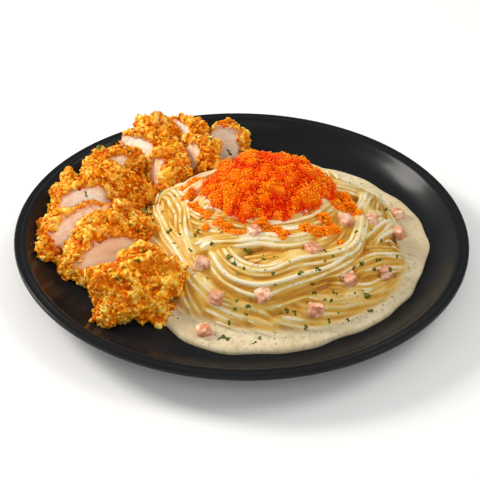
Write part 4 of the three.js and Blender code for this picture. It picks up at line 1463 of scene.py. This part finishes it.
def crumbed_slice(number, cut):
    piece = softened_copy(f"chicken_{number}", f"crumbed_slice_{number}", CRUST["voxel"], CRUST["round"])
    apply_modifiers(piece)
    for start, end, reach in GRABS.get(number, []):
        grab(piece, start, end, reach)
    if number in GRABS:
        remesh(piece, CRUST["voxel"])
        apply_modifiers(piece)
    meat, core, local = meat_mask(piece, cut)
    group = piece.vertex_groups.new(name="crust")
    for i, weight in enumerate(1 - meat):
        group.add([i], float(weight), "REPLACE")
    crag = roughen(piece, CRUST_CLUMPS) / CRAG_SPAN["clumps"]
    crag = crag + roughen(piece, CRUST_GRAINS) / CRAG_SPAN["grains"]
    store(piece, "meat", meat)
    store(piece, "core", core)
    store(piece, "pale_and_painted_light", np.full(len(meat), cut["pale_and_painted_light"]))
    store(piece, "crag", np.clip(0.5 + crag, 0, 1))
    store(piece, "fibre", local * cut.get("grain", 1))
    return piece, meat


slices = [crumbed_slice(i + 1, cut) for i, cut in enumerate(CHICKEN)]
print("slices:", [len(piece.data.vertices) for piece, _ in slices], "points")

# %% [markdown]
# ## Crumbs
#
# Coarse breadcrumbs stand off the crust as flakes and splinters, and they
# make the outline prickly. One crumb is a small sphere pulled into a flake;
# copies with their own size, turn and dents are set on random places of the
# crust and joined to the slice.

# %% Crumbs
CRUMBS = {
    "crumbs_per_cm2": 7, "curls_per_cm2": 8, "spikes": 9, "off_meat": 0.3, "over_floor": 2, "rim": 0.45,
    "stand": 0.3, "shades": (0.5, 0.85),
}
CURL = {
    "length": (2.2, 4.6), "width": (0.8, 1.7), "thick": (0.35, 0.6), "bend": (0.5, 1.9), "taper": 1.8,
    "ragged": (0.8, 1.15), "sections": 4,
}
CRUMB = {"dents": 0.25, "long": (0.8, 1.7), "wide": (0.6, 1.1), "thick": (0.4, 0.8)}
SPIKE = {"long": 0.9, "wide": 1.1, "tall": (3.0, 5.5)}  # times a crumb's size


def turned_to(normal, rng):
    """A random orientation that leans along a surface."""
    side = rng.normal(size=3)
    side -= normal * (side @ normal) * rng.uniform(0.2, 1)
    side /= np.linalg.norm(side) + 1e-9
    other = np.cross(normal, side)
    other /= np.linalg.norm(other) + 1e-9
    return np.array([side, other, np.cross(side, other)])


def curl(rng):
    """A bent flake in its own axes: four sections of four corners along an arc."""
    length, width, thick, bend = (rng.uniform(*CURL[key]) for key in ("length", "width", "thick", "bend"))
    arc = length / bend
    sections = []
    for t in np.linspace(-0.5, 0.5, CURL["sections"]):
        turn, half = bend * t, width / 2 * (1 - CURL["taper"] * t * t) * rng.uniform(*CURL["ragged"])
        out = np.array([math.sin(turn), 0, math.cos(turn)])
        middle = arc * out - [0, 0, arc]
        for side, layer in ((-1, -1), (1, -1), (1, 1), (-1, 1)):
            sections.append(middle + out * layer * thick / 2 + [0, side * half, 0])
    return np.array(sections)


CURL_FACES = [(3, 2, 1, 0), (12, 13, 14, 15)] + [
    (4 * i + j, 4 * i + (j + 1) % 4, 4 * i + 4 + (j + 1) % 4, 4 * i + 4 + j)
    for i in range(CURL["sections"] - 1) for j in range(4)
]


def crumb(rng):
    """A small lump: the egg's sphere, dented and flattened."""
    lump = shape * (1 + CRUMB["dents"] * rng.normal(size=(len(shape), 1)))
    return lump * [rng.uniform(*CRUMB[key]) for key in ("long", "wide", "thick")]


def spike(rng):
    """A splinter that stands off the outline."""
    return crumb(rng) * [SPIKE["long"], SPIKE["wide"], rng.uniform(*SPIKE["tall"])]


def crumbs_on(piece, meat, number):
    """Joins crumbs and curls to a slice, and returns how many."""
    rng = np.random.default_rng(500 + number)
    co, normal = points_of(piece), normals_of(piece)
    above = co[:, 2] > PLATE["floor"] + CRUMBS["over_floor"]
    open_air = np.flatnonzero((meat < CRUMBS["off_meat"]) & above)
    cm2 = len(open_air) * CRUST["voxel"] ** 2 / 100
    points, faces, shades, start = [], [], [], 0
    _, _, out = slice_axes(CHICKEN[number])
    rim = open_air[np.abs(normal[open_air] @ np.array(out)) < CRUMBS["rim"]]
    for make, its_faces, places, count in (
        (crumb, egg_faces.tolist(), open_air, int(cm2 * CRUMBS["crumbs_per_cm2"])),
        (curl, CURL_FACES, open_air, int(cm2 * CRUMBS["curls_per_cm2"])),
        (spike, egg_faces.tolist(), rim, CRUMBS["spikes"]),
    ):
        for i in rng.choice(places, count, replace=False):
            made = co[i] + normal[i] * CRUMBS["stand"] + make(rng) @ turned_to(normal[i], rng)
            points.append(made)
            faces += [[corner + start for corner in face] for face in its_faces]
            shades.append(np.full(len(made), rng.uniform(*CRUMBS["shades"])))
            start += len(made)
    crumbs = mesh_piece("crumbs", np.vstack(points), faces)
    mend(crumbs)
    for name in ("meat", "pale_and_painted_light", "core"):
        store(crumbs, name, np.zeros(start))
    store(crumbs, "crag", np.concatenate(shades))
    store(crumbs, "fibre", np.vstack(points))
    join(piece, crumbs)
    return len(points)


crumb_count = sum(crumbs_on(piece, meat, i) for i, (piece, meat) in enumerate(slices))
print("crumbs:", crumb_count)

# %% [markdown]
# ## Crust and meat in one material
#
# The same material shows crust and meat, and the "meat" mask blends them. The
# crust's own orange-brown is painted with shade and light: dark brown in the
# cracks and golden tips, by "crag", the distance that a point was pushed out.
# The meat is pale pink with fibres: noise that is stretched along the cut in
# the slice's own axes.

# %% Chicken material
fried, tree, shader = new_material(
    "fried chicken", Subsurface_Weight=0.2, Subsurface_Scale=0.0015, Coat_Weight=0.03, Coat_Roughness=0.2,
    Specular_IOR_Level=0.08,
)
shader.inputs["Subsurface Radius"].default_value = (1.0, 0.4, 0.15)
meat = attribute(tree, "meat")
uneven = add(tree, "Math", {0: grain(tree, 450.0), 1: -0.5}, operation="ADD").outputs[0]
crag = add(tree, "Math", {0: uneven, 1: 0.3, 2: attribute(tree, "crag")}, operation="MULTIPLY_ADD").outputs[0]
# Painted shade and light: dark brown in the cracks, pale yellow on the tips, by the crag; the crumbs' crag is
# random.
crust_with_painted_shade = ramp(
    tree, crag, (0.20, (0.42, 0.055, 0.0005)), (0.42, (0.62, 0.103, 0.0005)),
    (0.58, (0.78, 0.186, 0.001)), (0.72, (0.96, 0.43, 0.010)), (0.88, (1.0, 0.71, 0.16)),
)
browner = mix(tree, mask(tree, patches, Scale=60.0, Low=0.52, High=0.72), crust_with_painted_shade, (0.70, 0.17, 0.001))
paler = mix(tree, mask(tree, patches, Scale=85.0, Low=0.58, High=0.74), browner, (0.97, 0.50, 0.035))
strings = add(tree, "Mapping", {"Vector": attribute(tree, "fibre", "Vector"), "Scale": (0.12, 0.7, 0.35)})
threads = grain(tree, 2.0, 4.0, strings.outputs["Vector"])
pink = ramp(
    tree, threads, (0.30, (0.68, 0.37, 0.20)), (0.44, (0.88, 0.60, 0.36)), (0.60, (0.96, 0.78, 0.52)),
)
# The whiter ramp is partly white meat and partly painted light, for slices whose cut faces get little light.
white = ramp(
    tree, threads, (0.30, (0.92, 0.72, 0.53)), (0.44, (0.98, 0.87, 0.70)), (0.60, (1.0, 0.95, 0.82)),
)
meat_colour = mix(tree, attribute(tree, "pale_and_painted_light"), pink, white)
rimmed = mix(tree, attribute(tree, "core"), (0.72, 0.43, 0.26), meat_colour)
flesh = mix(tree, mask(tree, patches, Scale=110.0, Low=0.54, High=0.74), rimmed, (0.88, 0.66, 0.48))
tree.links.new(mix(tree, meat, paler, flesh), shader.inputs["Base Color"])
rough = add(tree, "MapRange", {"Value": meat, "To Min": 0.46, "To Max": 0.34})
tree.links.new(rough.outputs["Result"], shader.inputs["Roughness"])
fine = bump(tree, grain(tree, 1300.0, 5.0), 0.3, 0.8)
tree.links.new(bump(tree, threads, 0.35, 0.5, fine), shader.inputs["Normal"])
for number, (piece, _) in enumerate(slices, 1):
    finish(piece, fried, "fried_chicken", f"chicken_{number}")

# %% [markdown]
# ## Ham
#
# Ham cubes are cut crisp and then soften in the warm sauce. The faceted cubes
# are remeshed and smoothed until their edges are round, and a little noise
# dents them. Pink meat, paler fat and a film of cream share their surface.

# %% Ham
HAM = {"count": 13, "voxel": 0.5, "round": (0.5, 20), "dents": 1.4, "dent_size": 3.0}
dents = crust_texture("CLOUDS", HAM["dent_size"], "ham")
hams = []
for number in range(1, HAM["count"] + 1):
    cube = softened_copy(f"ham_{number}", f"ham_cube_{number}", HAM["voxel"], HAM["round"])
    dent = cube.modifiers.new("dents", "DISPLACE")
    dent.texture = dents
    dent.texture_coords = "GLOBAL"
    dent.strength = HAM["dents"] * MM
    apply_modifiers(cube)
    hams.append(cube)
print("ham cubes:", len(hams))

# %% [markdown]
# ## Ham finish
#
# The pink is uneven, with darker lean and pale fat, and cream sticks to it
# in places.

# %% Ham material
ham_pink, tree, shader = new_material(
    "ham", Roughness=0.36, Subsurface_Weight=0.2, Subsurface_Scale=0.002,
    Coat_Weight=0.15, Coat_Roughness=0.2,
)
shader.inputs["Subsurface Radius"].default_value = (1.0, 0.4, 0.25)
lean = ramp(
    tree, grain(tree, 260.0),
    (0.36, (0.56, 0.19, 0.10)), (0.5, (0.76, 0.36, 0.20)), (0.64, (0.90, 0.60, 0.40)),
)
creamy = mix(tree, mask(tree, patches, Scale=130.0, Low=0.56, High=0.66), lean, (0.86, 0.68, 0.46))
tree.links.new(creamy, shader.inputs["Base Color"])
tree.links.new(bump(tree, grain(tree, 700.0), 0.2, 0.5), shader.inputs["Normal"])
for number, cube in enumerate(hams, 1):
    finish(cube, ham_pink, "ham", f"ham_{number}")

# %% [markdown]
# ## Herb and pepper
#
# Dried parsley lies where it fell. The larger flakes have chosen pixels of the
# camera's frame: a ray through the pixel finds the surface, so the flake rests
# on food and not in the air. Many small ones and the ground pepper are strewn
# at random from straight above.

# %% Find the surface
def collect(pieces):
    """One search tree for the surfaces of several pieces."""
    points, faces, start = [], [], 0
    for piece in pieces:
        mesh = piece.data
        mesh.calc_loop_triangles()
        flat = np.empty(len(mesh.vertices) * 3, np.float32)
        mesh.vertices.foreach_get("co", flat)
        corner = np.empty(len(mesh.loop_triangles) * 3, np.int32)
        mesh.loop_triangles.foreach_get("vertices", corner)
        points.append(flat.reshape(-1, 3))
        faces.append(corner.reshape(-1, 3) + start)
        start += len(mesh.vertices)
    return BVHTree.FromPolygons(np.vstack(points).tolist(), np.vstack(faces).tolist())


food = collect([noodles, pool, film, mound, plate, *hams, *(piece for piece, _ in slices)])
print("food surface ready for rays")

# %% [markdown]
# ## One flake and its copies
#
# A flake is a thin, ragged, curled disc: an outline of eight uneven points
# with a middle above and below. It is closed and has a few dozen faces.

# %% Herb flakes
HERB_PIXELS = [
    (162, 212), (166, 202), (175, 196), (169, 231), (180, 234), (198, 231), (195, 236), (201, 219),
    (190, 250), (212, 243), (248, 251), (234, 264), (229, 257), (264, 259), (244, 269), (238, 274),
    (273, 273), (275, 285), (301, 273), (328, 270), (318, 269), (325, 261), (333, 256), (340, 249),
    (325, 251), (356, 232), (381, 240), (371, 230), (378, 260), (362, 263), (374, 269), (390, 269),
    (354, 268), (397, 258), (312, 284), (314, 293), (335, 293), (325, 300), (331, 301), (366, 294),
    (370, 311), (348, 320), (329, 321), (295, 313), (287, 310), (281, 313), (246, 314), (248, 307),
    (236, 308), (237, 300), (229, 323), (226, 338), (219, 339), (260, 338), (254, 343), (306, 328),
    (385, 210), (387, 219), (126, 210), (145, 212), (152, 209), (136, 230), (131, 225), (126, 167),
    (123, 175), (86, 194), (99, 148), (79, 176), (129, 151), (122, 147), (157, 132), (196, 138),
    (229, 152), (233, 160), (210, 139), (161, 193), (91, 222), (75, 233), (107, 220), (117, 277),
    (140, 277), (143, 250), (124, 267), (137, 261), (169, 231), (174, 243), (150, 214), (147, 207),
]
BIG_HERBS = {
    (226, 338), (229, 152), (117, 277), (136, 230), (335, 293), (366, 294), (378, 260), (385, 210),
    (145, 212), (99, 148), (301, 273), (248, 251), (234, 264), (233, 160),
}
HERBS = {"big": (4.8, 6.6), "middling": (2.8, 4.4), "small": (0.8, 1.9)}  # lengths of flakes in mm
FLAKE = {"waver": 0.25, "ragged": (0.6, 1.1), "narrow": (0.65, 1.0), "curl": 0.11, "thick": (0.11, 0.02)}
SIDES = 8
STREWN = {"herbs": 130, "pepper": 520, "within": 0.95, "stand": 0.05}
rng = np.random.default_rng(77)


def herb_flake(length):
    """Points of one flake round the origin, lying in its own plane."""
    turn = np.arange(SIDES) * 2 * np.pi / SIDES + rng.uniform(-FLAKE["waver"], FLAKE["waver"], SIDES)
    radius = length / 2 * rng.uniform(*FLAKE["ragged"], SIDES)
    width = rng.uniform(*FLAKE["narrow"])
    rim = np.column_stack([radius * np.cos(turn), radius * np.sin(turn) * width, np.zeros(SIDES)])
    rim[:, 2] = FLAKE["curl"] * length * np.sin(2 * turn + rng.uniform(0, 6.3))
    thick = FLAKE["thick"][0] + FLAKE["thick"][1] * length
    return np.vstack([rim, [0, 0, thick], [0, 0, -thick]])


FLAKE_FACES = [(SIDES, j, (j + 1) % SIDES) for j in range(SIDES)]
FLAKE_FACES += [(SIDES + 1, (j + 1) % SIDES, j) for j in range(SIDES)]


def scatter(name, spots, make, faces):
    """One mesh of many small shapes, each turned to the surface it lies on."""
    points, corners = [], []
    for spot, normal in spots:
        shape_points = make()
        frame_axes = turned_to(normal, rng)
        flat = np.array([np.cross(frame_axes[1], normal), frame_axes[1], normal])
        corners += [tuple(c + len(points) * len(shape_points) for c in face) for face in faces]
        points.append(spot + shape_points @ flat)
    return mesh_piece(name, np.vstack(points), corners)


def spot_at(pixel):
    hit, normal, _, _ = food.ray_cast(eye, ray_through(pixel))
    return (np.array(hit) / MM, np.array(normal)) if hit else None


def spot_below(x, y):
    hit, normal, _, _ = food.ray_cast(Vector((x, y, 200)) * MM, Vector((0, 0, -1)))
    return np.array(hit) / MM, np.array(normal)


def strewn(count, least_slope):
    """Random places on the noodles and the cream."""
    spots = []
    while len(spots) < count:
        turn, far = rng.uniform(0, 2 * np.pi), math.sqrt(rng.uniform(0, 1))
        radius = far * STREWN["within"] * float(sauce_outline(turn))
        x = SAUCE["centre"][0] + radius * math.cos(turn)
        y = SAUCE["centre"][1] + radius * math.sin(turn)
        in_roe = math.hypot(x - ROE["centre"][0], y - ROE["centre"][1]) < ROE["within"]
        spot, normal = spot_below(x, y)
        if normal[2] > least_slope and not in_roe:
            spots.append((spot + STREWN["stand"] * normal, normal))
    return spots


def flakes(name, spots):
    """Flakes of one class of size, on all places where a surface was found."""
    found = [spot for spot in spots if spot]
    return scatter(name, found, lambda: herb_flake(rng.uniform(*HERBS[name])), FLAKE_FACES)


herbs = flakes("big", [spot_at(pixel) for pixel in HERB_PIXELS if pixel in BIG_HERBS])
herbs.name = "herbs"
middling = flakes("middling", [spot_at(pixel) for pixel in HERB_PIXELS if pixel not in BIG_HERBS])
small = flakes("small", strewn(STREWN["herbs"], 0.5))
join(herbs, middling, small)

parsley, tree, shader = new_material("dried parsley", Roughness=0.6, Specular_IOR_Level=0.2)
leaf = ramp(
    tree, grain(tree, 260.0),
    (0.35, (0.045, 0.065, 0.004)), (0.5, (0.10, 0.14, 0.010)), (0.68, (0.21, 0.25, 0.03)),
)
tree.links.new(leaf, shader.inputs["Base Color"])
finish(herbs, parsley, "herb")

# %% [markdown]
# ## Ground pepper
#
# A pepper grain is a chip with eight faces, a few tenths of a millimetre
# across, nearly black or brown.

# %% Pepper
PEPPER = {"size": (0.16, 0.34), "uneven": (0.6, 1.3)}
PEPPER_TIPS = np.array([[1, 0, 0], [-1, 0, 0], [0, 1, 0], [0, -1, 0], [0, 0, 0.7], [0, 0, -0.7]])


def pepper_grain():
    size = rng.uniform(*PEPPER["size"])
    return PEPPER_TIPS * size * rng.uniform(*PEPPER["uneven"], (len(PEPPER_TIPS), 1))


PEPPER_FACES = [(0, 2, 4), (2, 1, 4), (1, 3, 4), (3, 0, 4), (2, 0, 5), (1, 2, 5), (3, 1, 5), (0, 3, 5)]
pepper = scatter("ground_pepper", strewn(STREWN["pepper"], 0.3), pepper_grain, PEPPER_FACES)
black, tree, shader = new_material("ground pepper", Roughness=0.7)
husk = ramp(tree, grain(tree, 700.0), (0.4, (0.03, 0.018, 0.01)), (0.6, (0.12, 0.065, 0.03)))
tree.links.new(husk, shader.inputs["Base Color"])
finish(pepper, black, "pepper")
